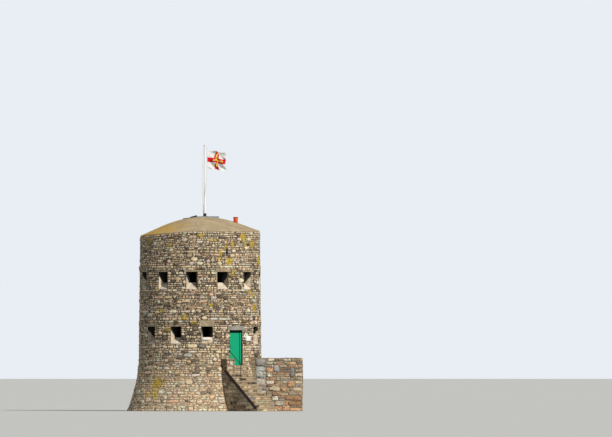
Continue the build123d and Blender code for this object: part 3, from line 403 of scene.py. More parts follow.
def weathered_concrete():
    """The cap's render: sandy and warm, olive lichen streaming in from the left rim."""
    sh = Shader("cap_concrete", 0.9)
    colour = sh.mix(sh.mottle(0, 1, 1.6, 5, 0.6), srgb(150, 132, 103), srgb(178, 160, 127))
    colour = sh.shade(colour, sh.mottle(0.84, 1.12, 60, 4, 0.75))
    leftward = sh.ramp(sh.axis("X"), 0.6, -2.6, 0.0, 0.8)
    patchy = sh.ramp(sh.noise(2.8, 6, 0.75), 0.35, 0.72, -0.32, 0.42)
    amount = sh.ramp(sh.math(leftward, patchy), 0.3, 0.6, 0.0, 0.75)
    colour = sh.mix(amount, colour, srgb(184, 144, 52))
    colour = sh.stain(colour, srgb(122, 108, 82), (5.2, 6, 0.75), 0.56, 0.7, 0.5)
    cracks = sh.ramp(sh.cells(0.9, "DISTANCE_TO_EDGE"), 0.0, 0.012, 0.5, 0.0)
    colour = sh.mix(cracks, colour, srgb(92, 82, 66))
    normal = sh.bump(sh.noise(50, 4, 0.7), 0.004)
    normal = sh.bump(sh.noise(3.0, 4), 0.03, normal)
    return sh.finish(colour, sh.mottle(0.8, 0.96, 12, 4), normal)


def plain_concrete(name, light, dark):
    """Cast concrete, softly stained."""
    sh = Shader(name, 0.88)
    colour = sh.mix(sh.mottle(0, 1, 3.5, 5, 0.65), dark, light)
    colour = sh.shade(colour, sh.mottle(0.85, 1.12, 65, 4, 0.7))
    normal = sh.bump(sh.noise(45, 4, 0.7), 0.004)
    return sh.finish(colour, sh.mottle(0.8, 0.95, 15), normal)


def paint(name, fresh, worn, roughness, streaks=0.35, shadow_above=ABOVE_ALL):
    """Weathered paint: faded patches, rain streaks, brush marks, and painted shadow above a height."""
    sh = Shader(name, roughness, gloss=0.2)
    colour = sh.mix(sh.mottle(0, 1, 2.6, 4, 0.6), fresh, worn)
    darker = (*(0.45 * part for part in fresh[:3]), 1.0)
    colour = sh.stain(colour, darker, (6.0, 4, 0.6, (3, 3, 0.35)), 0.52, 0.75, streaks)
    colour = sh.shade(colour, sh.mottle(0.93, 1.05, 90, 2))
    # Painted shadow: near black above the given height
    colour = sh.shade(colour, sh.ramp(sh.axis("Z"), shadow_above - 0.02, shadow_above + 0.02, 1.0, 0.04))
    brushed = sh.noise(40, 3, 0.6, (6, 6, 0.5))
    sheen = sh.ramp(brushed, 0.3, 0.7, roughness - 0.08, roughness + 0.15)
    return sh.finish(colour, sheen, sh.bump(brushed, 0.0015))


def timber():
    """Old sawn timber with dark knots."""
    sh = Shader("old_boards", 0.8)
    grain, colour = wood_grain(sh, srgb(84, 62, 42), srgb(139, 112, 80))
    knots = sh.ramp(sh.cells(2.5, "F1", (0.5, 3, 3)), 0.0, 0.1, 0.5, 0.0)
    colour = sh.mix(knots, colour, srgb(58, 40, 26))
    return sh.finish(colour, sh.ramp(grain, 0.3, 0.7, 0.7, 0.9), sh.bump(grain, 0.003))


def iron(name, base, rust, roughness):
    """Painted iron with specks of rust."""
    sh = Shader(name, roughness, 0.35)
    rusty = sh.ramp(sh.noise(28, 5, 0.7), 0.45, 0.62, 0.0, 0.5)
    colour = sh.mix(rusty, base, rust)
    colour = sh.shade(colour, sh.mottle(0.8, 1.15, 120, 3))
    return sh.finish(colour, sh.ramp(rusty, 0, 1, roughness, 0.9), sh.bump(sh.noise(90, 3), 0.0015))


def pot_clay():
    """Red earthenware, sooty towards its rim."""
    sh = Shader("red_clay", 0.8)
    colour = sh.mix(sh.mottle(0, 1, 9, 4, 0.6), srgb(176, 66, 34), srgb(206, 92, 50))
    ragged = sh.math(sh.axis("Z"), sh.mottle(-0.04, 0.04, 12, 4))
    sooty = sh.ramp(ragged, *POT_SOOT, 0.0, 0.55)
    colour = sh.mix(sooty, colour, srgb(96, 44, 30))
    return sh.finish(colour, sh.mottle(0.72, 0.9, 40), sh.bump(sh.noise(60, 3), 0.002))


def rope():
    """Laid rope."""
    sh = Shader("rope", 0.85)
    strands = sh.wave(60, "DIAGONAL", sh.position)
    colour = sh.mix(strands, srgb(168, 160, 142), srgb(214, 208, 192))
    return sh.finish(colour, 0.85, sh.bump(strands, 0.001))


RUBBLE = rubble_face()
WALL = mortar_wall()
JAMB = jamb_stone()
SILL = cut_stone("sill_stone", srgb(224, 214, 198), srgb(190, 174, 150), 0.02, 0.62)
LINTEL = cut_stone("lintel_stone", srgb(172, 156, 128), srgb(120, 107, 86), 0.03)
DOOR_LINTEL = cut_stone("door_lintel_stone", srgb(150, 148, 140), srgb(118, 115, 106))
TREADS = cut_stone("tread_stone", srgb(178, 160, 132), srgb(136, 119, 96))
COPING = cut_stone("coping_stone", srgb(150, 136, 112), srgb(112, 100, 82))
CAP = weathered_concrete()
PLINTH = plain_concrete("plinth_concrete", srgb(148, 158, 164), srgb(122, 132, 138))
# The door's leaf and frame carry the lintel's painted shadow under the door head
GREEN = paint("green_paint", srgb(0, 144, 104), srgb(0, 154, 112), 0.7, shadow_above=DOOR_HEAD_SHADOW)
GREEN_FRAME = paint("green_frame_paint", srgb(0, 152, 110), srgb(0, 162, 118), 0.7, shadow_above=DOOR_HEAD_SHADOW)
WHITE = paint("white_paint", srgb(222, 222, 219), srgb(228, 228, 225), 0.5, 0.2)
LIMEWASH = cut_stone("limewashed_stone", srgb(228, 223, 213), srgb(216, 209, 197), 0.01, 0.9)
TIMBER = timber()
BOARDS = boards()
IRON = iron("black_iron", srgb(38, 37, 38), srgb(96, 54, 32), 0.55)
HATCH = iron("hatch_sheet", srgb(44, 52, 66), srgb(70, 74, 84), 0.5)
CLAY = pot_clay()
ROPE = rope()

# Each finish with the starts of the names of its CAD pieces
FINISHES = [
    (WALL, ("wall_", "stair_core", "stair_pier", "side_wall")),
    (JAMB, ("piers_",)),
    (SILL, ("sills_",)),
    (LINTEL, ("lintels_",)),
    (DOOR_LINTEL, ("door_lintel",)),
    (TREADS, ("ground_floor", "door_threshold", "stair_treads")),
    (COPING, ("pier_coping",)),
    (TIMBER, ("joists_",)),
    (BOARDS, ("deck_",)),
    (CAP, ("roof_cap",)),
    (PLINTH, ("roof_plinth",)),
    (HATCH, ("roof_hatch",)),
    (CLAY, ("chimney_pot",)),
    (GREEN_FRAME, ("door_frame",)),
    (GREEN, ("door_leaf",)),
    (IRON, ("door_bands", "door_pintles", "door_handle", "pole_shoe", "pole_cleat")),
    (WHITE, ("flagpole", "pole_truck")),
    (ROPE, ("halyard",)),
]
for name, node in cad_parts.items():
    for finish, starts in FINISHES:
        if name.startswith(starts):
            node.data.materials.clear()
            node.data.materials.append(finish)


# Stones: flat quads laid out in courses, then raised into rounded blocks


def make_object(name, points, quads, triangles, material, smooth=True):
    """A mesh object of quads and triangles that rides with the tower."""
    mesh = bpy.data.meshes.new(name)
    mesh.vertices.add(len(points))
    mesh.vertices.foreach_set("co", np.asarray(points, dtype=np.float32).ravel())
    corners = np.concatenate([quads.ravel(), triangles.ravel()]).astype(np.int32)
    mesh.loops.add(len(corners))
    mesh.loops.foreach_set("vertex_index", corners)
    starts = np.concatenate([np.arange(len(quads)) * 4, len(quads) * 4 + np.arange(len(triangles)) * 3])
    mesh.polygons.add(len(starts))
    mesh.polygons.foreach_set("loop_start", starts.astype(np.int32))
    mesh.update(calc_edges=True)
    mesh.validate()
    mesh.polygons.foreach_set("use_smooth", np.full(len(mesh.polygons), smooth))
    mesh.materials.append(material)
    made = bpy.data.objects.new(name, mesh)
    bpy.context.scene.collection.objects.link(made)
    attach(made, "tower")
    return made


# Written colours of the stones with their shares. The tower's are grey, warm grey, tan, brown, rust-pink,
# dark and pale. The side wall's are warmer, and its dressed end's are pale grey.
STONE_COLOURS = [
    ((182, 172, 152), 5),
    ((172, 154, 127), 7),
    ((192, 172, 140), 6),
    ((152, 132, 106), 6),
    ((190, 164, 132), 2),
    ((80, 70, 59), 4),
    ((210, 198, 173), 2),
    ((176, 146, 116), 2),
    ((136, 130, 120), 3),
]
SIDE_COLOURS = [
    ((180, 164, 138), 4),
    ((190, 152, 116), 3),
    ((172, 132, 98), 2),
    ((146, 132, 110), 3),
    ((150, 148, 142), 2),
    ((206, 196, 176), 2),
]
QUOIN_COLOURS = [
    ((176, 172, 164), 3),
    ((158, 156, 150), 2),
    ((192, 186, 172), 2),
]
# No stone's linear colour is brighter than this
PALEST = 0.74

# Free lengths shorter than this stay bare
LEAST_SPAN = 0.03
# How long a stone is that fills two courses, and how large one that is split into two thin ones
TALL_LENGTHS = (0.2, 0.62)
SPLIT_HEIGHT = 0.15
SPLIT_LENGTH = 0.22
# A raised stone has three rings of this many points and a middle one. Each ring is given by how far it lies
# inside the edge (None for a share of the stone's size), its share of the stand (or a depth in metres below
# the face), its lean and its unevenness.
CORNERS = 12
STONE_RINGS = [(0.0, -0.012, 0.0, 0.0), (0.006, 0.8, 1.0, 0.002), (None, 1.0, 1.0, 0.005)]
INNER_RING = 0.26
# How light each ring's colour is, from the darkened edge inwards
RING_TONES = (0.2, 0.75, 1.0)


def wobble(rng):
    """A gentle periodic wave along a course line, between about -1 and 1."""
    turns = rng.integers(3, 34, 6)
    phases = rng.uniform(0, 2 * math.pi, 6)
    shares = rng.uniform(0.3, 1.0, 6)

    def wave(along):
        angle = np.asarray(along) / RING * 2 * math.pi
        return sum(a * np.sin(t * angle + p) for t, p, a in zip(turns, phases, shares)) / shares.sum()

    return wave


def free_spans(closed, start, end, ring):
    """What is left of start..end once the closed spans are taken out. A ring runs on over its end."""
    spans = []
    for a, b in closed:
        if ring:
            b = a % RING + b - a
            a = a % RING
            spans.append((a, min(b, RING)))
            if b > RING:
                spans.append((0.0, b - RING))
        else:
            spans.append((a, b))
    free = []
    reached = start
    for a, b in sorted(spans):
        if a > reached + LEAST_SPAN:
            free.append([reached, min(a, end)])
        reached = max(reached, b)
    if reached < end - LEAST_SPAN:
        free.append([reached, end])
    if ring and len(free) > 1 and free[0][0] == 0.0 and free[-1][1] == RING:
        free[0] = [free[-1][0], RING + free[0][1]]
        free.pop()
    return [(a, b) for a, b in free if b - a > LEAST_SPAN]


def is_clear(a, b, low, high, closed, ring):
    """Whether a span has nothing closed in it between two heights."""
    for ca, cb, za, zb in closed:
        if min(zb, high) - max(za, low) < 0.01:
            continue
        for turn in (-RING, 0, RING) if ring else (0,):
            if ca + turn < b and cb + turn > a:
                return False
    return True


def rounded(half_w, half_h, soft):
    """Twelve points round a rounded rectangle: two at each corner, and one in each side."""
    w, h, r = half_w[:, None], half_h[:, None], soft[:, None]
    x = [-w + r, 0 * w, w - r, w, w, w, w - r, 0 * w, -w + r, -w, -w, -w]
    y = [-h, -h, -h, -h + r, 0 * h, h - r, h, h, h, h - r, 0 * h, -h + r]
    return np.concatenate(x, axis=1), np.concatenate(y, axis=1)


def between(a, b, share):
    """From a where share is -1 to b where it is 1."""
    return a * (1 - share[..., None]) / 2 + b * (1 + share[..., None]) / 2


def rectangle(left, right, low, high):
    return [(left, low), (right, low), (right, high), (left, high)]


class Rubble:
    """Collects stones as quads of (along, height): lower left, lower right, upper right, upper left."""

    def __init__(self, seed):
        self.rng = np.random.default_rng(seed)
        self.quads = []

    def add(self, corners):
        self.quads.append(corners)

    def lay(self, bottom, top, course, start=0.0, end=RING, closed=(), ring=True, length=1.9, wave=0.22,
            tall=0.09, split=0.2):
        """Fill a band with random courses. closed holds (along, along, low, high) rectangles. length is in
        heights of the course, wave in courses, and tall and split are shares of the stones."""
        rng = self.rng
        count = max(1, round((top - bottom) / course))
        heights = rng.uniform(0.62, 1.4, count)
        lines = bottom + np.concatenate([[0], np.cumsum(heights / heights.sum() * (top - bottom))])
        waves = [wobble(rng) for _ in lines]
        reach = [0.0 if k in (0, count) else wave * (top - bottom) / count for k in range(count + 1)]

        def level(k, *joints):
            """Heights of a course line at joints."""
            return np.array([lines[k] + reach[k] * waves[k](joint[2]) for joint in joints])

        taken = []
        for k in range(count):
            low, high = lines[k], lines[k + 1]
            spans = [(a, b) for a, b, za, zb in closed if min(zb, high) - max(za, low) > 0.4 * (high - low)]
            spans = spans + taken
            taken = []
            if ring:
                start = 0.0 if spans else rng.uniform(0, RING)
                end = start + RING
            for a, b in free_spans(spans, start, end, ring):
                stretch = RING / (2 * math.pi * float(outer_radius((low + high) / 2))) if ring else 1.0
                joints = self.joints(a, b, length * (high - low) * stretch)
                for left, right in zip(joints, joints[1:]):
                    foot = level(k, left, right)
                    head = level(k + 1, left, right)
                    wide = right[2] - left[2]
                    roomy = k + 1 < count and TALL_LENGTHS[0] < wide < TALL_LENGTHS[1]
                    is_tall = roomy and rng.random() < tall
                    if is_tall and is_clear(left[2], right[2], high, lines[k + 2], closed, ring):
                        self.stone(left, right, foot, level(k + 2, left, right))
                        taken.append((left[2], right[2]))
                    elif high - low > SPLIT_HEIGHT and wide > SPLIT_LENGTH and rng.random() < split:
                        share = rng.uniform(0.36, 0.64)
                        middle = foot * (1 - share) + head * share
                        self.stone(left, right, foot, middle)
                        self.stone(left, right, middle, head)
                    else:
                        self.stone(left, right, foot, head)

    def joints(self, a, b, length):
        """Random joints between two ends, as (foot, head, middle) places along the course."""
        rng = self.rng
        count = max(1, round((b - a) / max(length, 0.15)))
        weights = np.clip(rng.lognormal(0, 0.55, count), 0.4, 3.0)
        places = a + np.concatenate([[0], np.cumsum(weights / weights.sum() * (b - a))])
        slant = rng.uniform(-0.03, 0.03, (count + 1, 2))
        slant[0] = slant[-1] = 0
        return [(p + s[0], p + s[1], p) for p, s in zip(places, slant)]

    def stone(self, left, right, low, high):
        """One stone between two joints. low and high hold its heights at the left and at the right."""
        self.add([(left[0], low[0]), (right[0], low[1]), (right[1], high[1]), (left[1], high[0])])

    def build(self, name, place, proud=(0.012, 0.032), gap=(0.005, 0.014), material=RUBBLE,
              colours=STONE_COLOURS, rough=1.0, spread=0.38, bright=1.0):
        """Raise every quad into a stone that stands proud. gap is its joint, rough rounds and tilts it."""
        rng = self.rng
        quads = np.array(self.quads)
        count = len(quads)
        width = (quads[:, 1, 0] - quads[:, 0, 0] + quads[:, 2, 0] - quads[:, 3, 0]) / 2
        height = (quads[:, 3, 1] - quads[:, 0, 1] + quads[:, 2, 1] - quads[:, 1, 1]) / 2
        small = np.minimum(width, height)
        space = rng.uniform(*gap, count)
        round_off = small * rng.uniform(0.04 + 0.16 * rough, 0.08 + 0.36 * rough, count)
        jitter = rng.uniform(-1, 1, (count, CORNERS, 2)) * (small * 0.075 * rough)[:, None, None]
        stand = rng.uniform(*proud, count) * np.clip(small / 0.16, 0.6, 1.3)
        stand = np.where(rng.random(count) < 0.08, 0.004, stand)
        lean = rng.uniform(-0.05, 0.05, (count, 2)) * rough * small[:, None]
        rings = []
        for inset, rise, leaning, uneven in STONE_RINGS:
            step = np.full(count, inset) if inset is not None else small * INNER_RING
            step = np.minimum(step, small * 0.3)
            half_w = np.maximum(width / 2 - space - step, 0.012)
            half_h = np.maximum(height / 2 - space - step, 0.012)
            soft = np.minimum(round_off, np.minimum(half_w, half_h) * 0.8)
            x, y = rounded(half_w, half_h, soft)
            u = (x + jitter[:, :, 0]) / (width / 2)[:, None]
            v = (y + jitter[:, :, 1]) / (height / 2)[:, None]
            depth = stand[:, None] * rise if rise > 0 else np.full((count, 1), rise)
            depth = depth + leaning * (lean[:, 0:1] * u + lean[:, 1:2] * v)
            if rise > 0:
                depth = np.maximum(depth + rng.uniform(-uneven, uneven, (count, CORNERS)), 0.003)
            rings.append((u, v, np.broadcast_to(depth, (count, CORNERS))))
        none = np.zeros((count, 1))
        rings.append((none, none, (stand * rng.uniform(0.9, 1.12, count))[:, None]))
        u, v, depth = (np.concatenate(parts, axis=1) for parts in zip(*rings))
        low = between(quads[:, 0:1], quads[:, 1:2], u)
        high = between(quads[:, 3:4], quads[:, 2:3], u)
        flat = between(low, high, v)
        points = place(flat[..., 0].ravel(), flat[..., 1].ravel(), depth.ravel())
        points[:, 2] = np.maximum(points[:, 2], 0.002)
        turn = np.arange(CORNERS)
        onward = (turn + 1) % CORNERS
        ring_start = np.arange(2)[:, None] * CORNERS
        here = ring_start + turn
        there = ring_start + onward
        strip = np.stack([here, there, there + CORNERS, here + CORNERS], axis=-1).reshape(-1, 4)
        tip = np.full(CORNERS, 3 * CORNERS)
        fan = np.stack([2 * CORNERS + turn, 2 * CORNERS + onward, tip], axis=-1)
        base = (np.arange(count) * (3 * CORNERS + 1))[:, None, None]
        faces = (strip[None] + base).reshape(-1, 4)
        tips = (fan[None] + base).reshape(-1, 3)
        made = make_object(name, points, faces, tips, material)
        self.colour(made, count, colours, spread, bright)

    def colour(self, made, count, colours, spread, bright):
        """Each stone's own colour, darkened at its edges."""
        rng = self.rng
        palette = bright * np.array([srgb(*c)[:3] for c, _ in colours])
        share = np.array([s for _, s in colours], dtype=float)
        pick = rng.choice(len(palette), count, p=share / share.sum())
        tone = palette[pick] * np.clip(rng.lognormal(0, spread, (count, 1)), 0.4, 1.35)
        tone = tone * rng.uniform(0.95, 1.05, (count, 3))
        tone = tone * np.minimum(1.0, PALEST / tone.max(axis=1, keepdims=True))
        ring_tone = np.repeat(RING_TONES, [CORNERS, CORNERS, CORNERS + 1])
        rgb = (tone[:, None, :] * ring_tone[None, :, None]).reshape(-1, 3)
        layer = made.data.color_attributes.new("stone", "FLOAT_COLOR", "POINT")
        values = np.concatenate([np.clip(rgb, 0, 1), np.ones((len(rgb), 1))], axis=1)
        layer.data.foreach_set("color", values.astype(np.float32).ravel())


def on_tower(along, height, depth):
    """Points on the tower's outer face. The wall head falls away at the left, and its courses with it."""
    angle = along / RING * 2 * math.pi
    fall = HEAD_FALL * np.clip(HEAD_FALL_START - HEAD_RADIUS * np.cos(angle), 0, None)
    head = UPPER_HEAD + LINTEL_HEIGHT
    height = height - fall * np.clip((height - head) / (WALL_HEAD - head), 0, 1)
    radius = outer_radius(height) + depth
    return np.stack([radius * np.cos(angle), radius * np.sin(angle), height], axis=-1)


def around(degrees):
    """Place along the ring of an angle."""
    return degrees / 360 * RING


def window(angle, half, low, high):
    """A closed rectangle, centred on an angle."""
    return (around(angle) - half, around(angle) + half, low, high)


# Where the tower's stones stay away: the openings, the lintels and the stones of their own
DOOR_EDGE = DOORWAY_WIDTH / 2
DOOR_LINTEL_BED = DOOR_HEAD - 0.12
LINTEL_FACE = 0.08
OVER_STONE_LEFT = around(-58.0)
OVER_STONE_RIGHT = around(-51.3)
OVER_STONE_TOP = 4.43
closed = [
    window(DOOR_ANGLE, DOOR_EDGE, ENTRANCE_FLOOR, DOOR_HEAD),
    window(DOOR_ANGLE, DOOR_LINTEL_LENGTH / 2, DOOR_LINTEL_BED, DOOR_LINTEL_TOP),
    window(SLIT_ANGLE, SLIT_WIDTH / 2, SLIT_BOTTOM, SLIT_BOTTOM + SLIT_HEIGHT),
    window(PATCH_ANGLE, LINTEL_LENGTH / 2, LOWER_HEAD, LOWER_HEAD + LINTEL_HEIGHT),
    (OVER_STONE_LEFT, OVER_STONE_RIGHT, 4.3, OVER_STONE_TOP),
]
LOOPHOLE_ROWS = [
    (LOWER_ROW_ANGLE, 11, LOWER_SILL, LOWER_HEAD),
    (UPPER_ROW_ANGLE, 12, UPPER_SILL, UPPER_HEAD),
]
for first_angle, count, sill, head in LOOPHOLE_ROWS:
    for k in range(count):
        angle = first_angle + ROW_STEP * k
        closed.append(window(angle, LOOPHOLE_WIDTH / 2, sill, head))
        closed.append(window(angle, LINTEL_LENGTH / 2, head, head + LINTEL_FACE))

# The flight and its pier stand against the foot of the tower, and so does the side wall
FLIGHT_ANGLE = DOOR_ANGLE + 0.3
PIER_ANGLE = DOOR_ANGLE - 11.5
SIDE_WALL_ANGLE = -28.0
closed.append(window(FLIGHT_ANGLE, STAIR_RIGHT * 0.9, 0.0, ENTRANCE_FLOOR - 0.1))
closed.append(window(PIER_ANGLE, 0.22, 0.0, PIER_TOP))
closed.append(window(SIDE_WALL_ANGLE, 0.3, 0.0, SIDE_HEIGHT))

# The tower's bands of stones from the ground up, each starting where the last one ends: name, top, course
# height, how pale they are and how far they stand out. Those over the loopholes hide the upper part of the
# lintels, whose flat faces stand out at their ends.
USUAL = (0.012, 0.032)
OVER = (0.045, 0.06)
BANDS = [
    ("stones_foot", 1.2, 0.12, 3.0, USUAL),
    ("stones_flare", ENTRANCE_FLOOR, 0.112, 2.65, USUAL),
    ("stones_entrance", LOWER_SILL, 0.104, 2.0, USUAL),
    ("stones_lower_piers", LOWER_HEAD, 0.108, 1.75, USUAL),
    ("stones_lower_heads", LOWER_HEAD + LINTEL_FACE, LINTEL_FACE, 1.5, USUAL),
    ("stones_lower_over", LOWER_HEAD + LINTEL_HEIGHT, 0.1, 1.5, OVER),
    ("stones_middle", UPPER_SILL, 0.094, 1.9, USUAL),
    ("stones_upper_piers", UPPER_HEAD, 0.108, 1.7, USUAL),
    ("stones_upper_heads", UPPER_HEAD + LINTEL_FACE, LINTEL_FACE, 1.5, USUAL),
    ("stones_upper_over", UPPER_HEAD + LINTEL_HEIGHT, 0.1, 1.6, OVER),
    ("stones_head", WALL_HEAD, 0.092, 2.0, USUAL),
]
LAID = dict(length=1.7, wave=0.36, tall=0.16)
LAID_IN_PIERS = dict(length=1.5, wave=0.2, tall=0.2)
PATCH_LEFT = around(PATCH_ANGLE) - LOOPHOLE_WIDTH / 2
bottom = 0.0
for number, (name, top, course, bright, proud) in enumerate(BANDS):
    band = Rubble(100 + number)
    band.lay(bottom, top, course, closed=closed, **(LAID_IN_PIERS if name.endswith("piers") else LAID))
    if name == "stones_lower_piers":
        side_length = (DOOR_LINTEL_LENGTH - DOORWAY_WIDTH) / 2
        for left in (-DOOR_LINTEL_LENGTH / 2, DOOR_EDGE):
            left += around(DOOR_ANGLE)
            band.add(rectangle(left, left + side_length, DOOR_LINTEL_BED, DOOR_HEAD))
        band.lay(LOWER_SILL, PATCH_TOP - SILL_SLAB, 0.1, PATCH_LEFT, PATCH_LEFT + LOOPHOLE_WIDTH, ring=False,
                 wave=0.1, length=2.0)
    band.build(name, on_tower, proud=proud, bright=bright, spread=0.26 if top <= ENTRANCE_FLOOR else 0.38)
    bottom = top

# A few stones of their own: the walled-up loophole's limewashed sill and the pale stone over the door
sill_slab = Rubble(120)
sill_slab.add([(PATCH_LEFT + 0.03, PATCH_TOP - SILL_SLAB), (PATCH_LEFT + 0.47, PATCH_TOP - SILL_SLAB),
               (PATCH_LEFT + 0.45, PATCH_TOP - 0.005), (PATCH_LEFT + 0.05, PATCH_TOP - 0.005)])
sill_slab.build("patch_sill", on_tower, proud=(0.055, 0.056), gap=(0.001, 0.002), material=LIMEWASH,
                rough=0.05)
over_door = Rubble(121)
over_door.add([(OVER_STONE_LEFT, 4.35), (OVER_STONE_RIGHT, 4.355), (around(-51.6), OVER_STONE_TOP),
               (around(-57.6), 4.425)])
over_door.build("over_door_stone", on_tower, proud=(0.085, 0.087), material=LIMEWASH, rough=0.4)

# The bare white board to the right of the door, with its four screws
BOARD_LEFT = around(BOARD_ANGLE) - BOARD_WIDTH / 2
BOARD_RIGHT = around(BOARD_ANGLE) + BOARD_WIDTH / 2
SCREW_INSET = 0.02
SCREW_SIZE = 0.014
board = Rubble(122)
board.add(rectangle(BOARD_LEFT, BOARD_RIGHT, BOARD_BOTTOM, BOARD_TOP))
board.build("wall_board", on_tower, proud=(0.042, 0.0421), gap=(0.001, 0.001), material=WHITE, rough=0.0)
screws = Rubble(123)
for left in (BOARD_LEFT + SCREW_INSET, BOARD_RIGHT - SCREW_INSET - SCREW_SIZE):
    for low in (BOARD_BOTTOM + SCREW_INSET, BOARD_TOP - SCREW_INSET - SCREW_SIZE):
        screws.add(rectangle(left, left + SCREW_SIZE, low, low + SCREW_SIZE))
screws.build("board_screws", on_tower, proud=(0.07, 0.0701), gap=(0.0001, 0.0001), material=IRON, rough=0.2)


def on_plane(origin, along_dir, normal, up_dir=(0, 0, 1)):
    """Points on a plane through an origin, upright unless up_dir says otherwise."""
    given = (origin, along_dir, normal, up_dir)
    origin, along_dir, normal, up_dir = (np.array(vector, dtype=float) for vector in given)

    def place(along, height, depth):
        return origin + along[:, None] * along_dir + height[:, None] * up_dir + depth[:, None] * normal

    return place


def stone_face(name, seed, plane, band, laid, **built):
    """Stones on one flat face. band holds its bottom, top, course height, start and end."""
    stones = Rubble(seed)
    stones.lay(*band, ring=False, **laid)
    stones.build(name, plane, **built)


OUT = (math.cos(math.radians(DOOR_ANGLE)), math.sin(math.radians(DOOR_ANGLE)), 0.0)
ACROSS = (-OUT[1], OUT[0], 0.0)
LEFTWARD = (-ACROSS[0], -ACROSS[1], 0.0)
STAIR_START = float(outer_radius(ENTRANCE_FLOOR))


def from_door(out, across):
    """Level point at a distance out from the axis and across the doorway's centre line."""
    return (OUT[0] * out + ACROSS[0] * across, OUT[1] * out + ACROSS[1] * across, 0.0)


def under_tread(step):
    """Height of a tread's underside. The steps are counted down from the door."""
    return ENTRANCE_FLOOR - step * RISER - TREAD


def wall_reach(height, across):
    """How far out the tower's wall comes beside the doorway's centre line, with a little overlap."""
    return math.sqrt(max(0.0, float(outer_radius(height)) ** 2 - across**2)) - 0.02


# The flight's flanks: one course for each riser, as far out as the step above it allows
FLANK_PROUD = (0.008, 0.022)
for name, seed, across, normal in (
    ("flank_left", 299, -STAIR_LEFT, LEFTWARD),
    ("flank_right", 301, STAIR_RIGHT, ACROSS),
):
    flank = Rubble(seed)
    for step in range(1, STEP_COUNT):
        top = under_tread(step)
        bottom = max(0.0, top - RISER)
        reach = STAIR_START + step * GOING
        start = wall_reach(bottom, across)
        if reach - start > 0.08:
            flank.lay(bottom, top, RISER, start, reach, ring=False, wave=0.0, split=0.25, length=2.1)
    flank.build(name, on_plane(from_door(0, across), OUT, normal), proud=FLANK_PROUD)

# The stub pier: stones on its flank under the coping, darkened as painted shade, its end, and its side
# towards the door
pier_start = wall_reach(2.2, -STAIR_LEFT)
left_flank = on_plane(from_door(0, -STAIR_LEFT), OUT, LEFTWARD)
stone_face("pier_flank", 303, left_flank, (under_tread(1), PIER_TOP, 0.17, pier_start, PIER_REACH),
           dict(wave=0.0, length=1.4), proud=FLANK_PROUD, bright=0.35)
pier_end = on_plane(from_door(PIER_REACH, 0), ACROSS, OUT)
stone_face("pier_end_stones", 320, pier_end, (under_tread(2), PIER_TOP, 0.19, -STAIR_LEFT, -DOOR_EDGE),
           dict(wave=0.1, length=1.5), proud=FLANK_PROUD)
pier_side = on_plane(from_door(0, -DOOR_EDGE), OUT, ACROSS)
pier_side_band = (ENTRANCE_FLOOR - 0.02, PIER_TOP, 0.12, BODY_RADIUS - 0.02, PIER_REACH)
stone_face("pier_side_stones", 321, pier_side, pier_side_band,
           dict(wave=0.0, length=1.5), proud=(0.006, 0.014))

# Risers: a row of small stones under each tread's nosing
for step in range(1, STEP_COUNT):
    reach = STAIR_START + step * GOING
    top = under_tread(step)
    left = -STAIR_LEFT if reach > PIER_REACH else -DOOR_EDGE
    band = (max(0.0, top - RISER + TREAD), top, 0.12, left, STAIR_RIGHT)
    stone_face(f"riser_stones_{step}", 340 + step, on_plane(from_door(reach, 0), ACROSS, OUT), band,
               dict(wave=0.0, length=2.6, split=0.0), proud=(0.004, 0.012))

# Side wall: larger, warmer blocks, with pale grey dressed stones at the end against the tower
QUOIN_END = 3.3
SIDE_BACK = SIDE_FRONT + SIDE_THICKNESS
front_plane = on_plane((0, SIDE_FRONT, 0), (1, 0, 0), (0, -1, 0))
end_plane = on_plane((SIDE_END, 0, 0), (0, 1, 0), (1, 0, 0))
back_plane = on_plane((0, SIDE_BACK, 0), (-1, 0, 0), (0, 1, 0))
top_plane = on_plane((0, 0, SIDE_HEIGHT), (1, 0, 0), (0, 0, 1), (0, 1, 0))
stone_face("side_wall_front", 360, front_plane, (0.0, SIDE_HEIGHT, 0.2, QUOIN_END, SIDE_END),
           dict(wave=0.2, length=1.6, tall=0.16), colours=SIDE_COLOURS, rough=0.45, spread=0.3)
stone_face("side_wall_quoins", 363, front_plane, (0.0, SIDE_HEIGHT, 0.33, SIDE_START, QUOIN_END),
           dict(wave=0.05, length=1.5, split=0.0), colours=QUOIN_COLOURS, rough=0.1, spread=0.1)
stone_face("side_wall_end", 361, end_plane, (0.0, SIDE_HEIGHT, 0.22, SIDE_FRONT, SIDE_BACK),
           dict(wave=0.1, length=1.4), colours=SIDE_COLOURS, rough=0.45)
stone_face("side_wall_back", 362, back_plane, (0.0, SIDE_HEIGHT, 0.2, -SIDE_END, -SIDE_START - 0.1),
           dict(wave=0.16, length=1.7, tall=0.12), colours=SIDE_COLOURS, rough=0.45)
stone_face("side_wall_top", 364, top_plane, (SIDE_FRONT, SIDE_BACK, 0.2, SIDE_START + 0.1, SIDE_END),
           dict(wave=0.2, length=1.5), colours=SIDE_COLOURS, rough=0.6)


# Flag: a light cloth that ripples in diagonal folds away from its roped hoist
FLAG_LENGTH = 1.37
FLAG_HEIGHT = 0.915
FLAG_TOP = 13.11
FLAG_BEARING = math.radians(36)
# Folds: how far each swings the cloth, its slant, its spacing and its phase
FLAG_FOLDS = [(0.85, 1.1, 0.6, 0.6), (0.35, 1.5, 0.33, 2.0)]
HOIST_X = 0.3653
# The folds reach their full swing this far from the hoist, and the fly hangs this much lower
FLAG_SWING_LENGTH = 0.35
FLAG_DROOP = 0.13


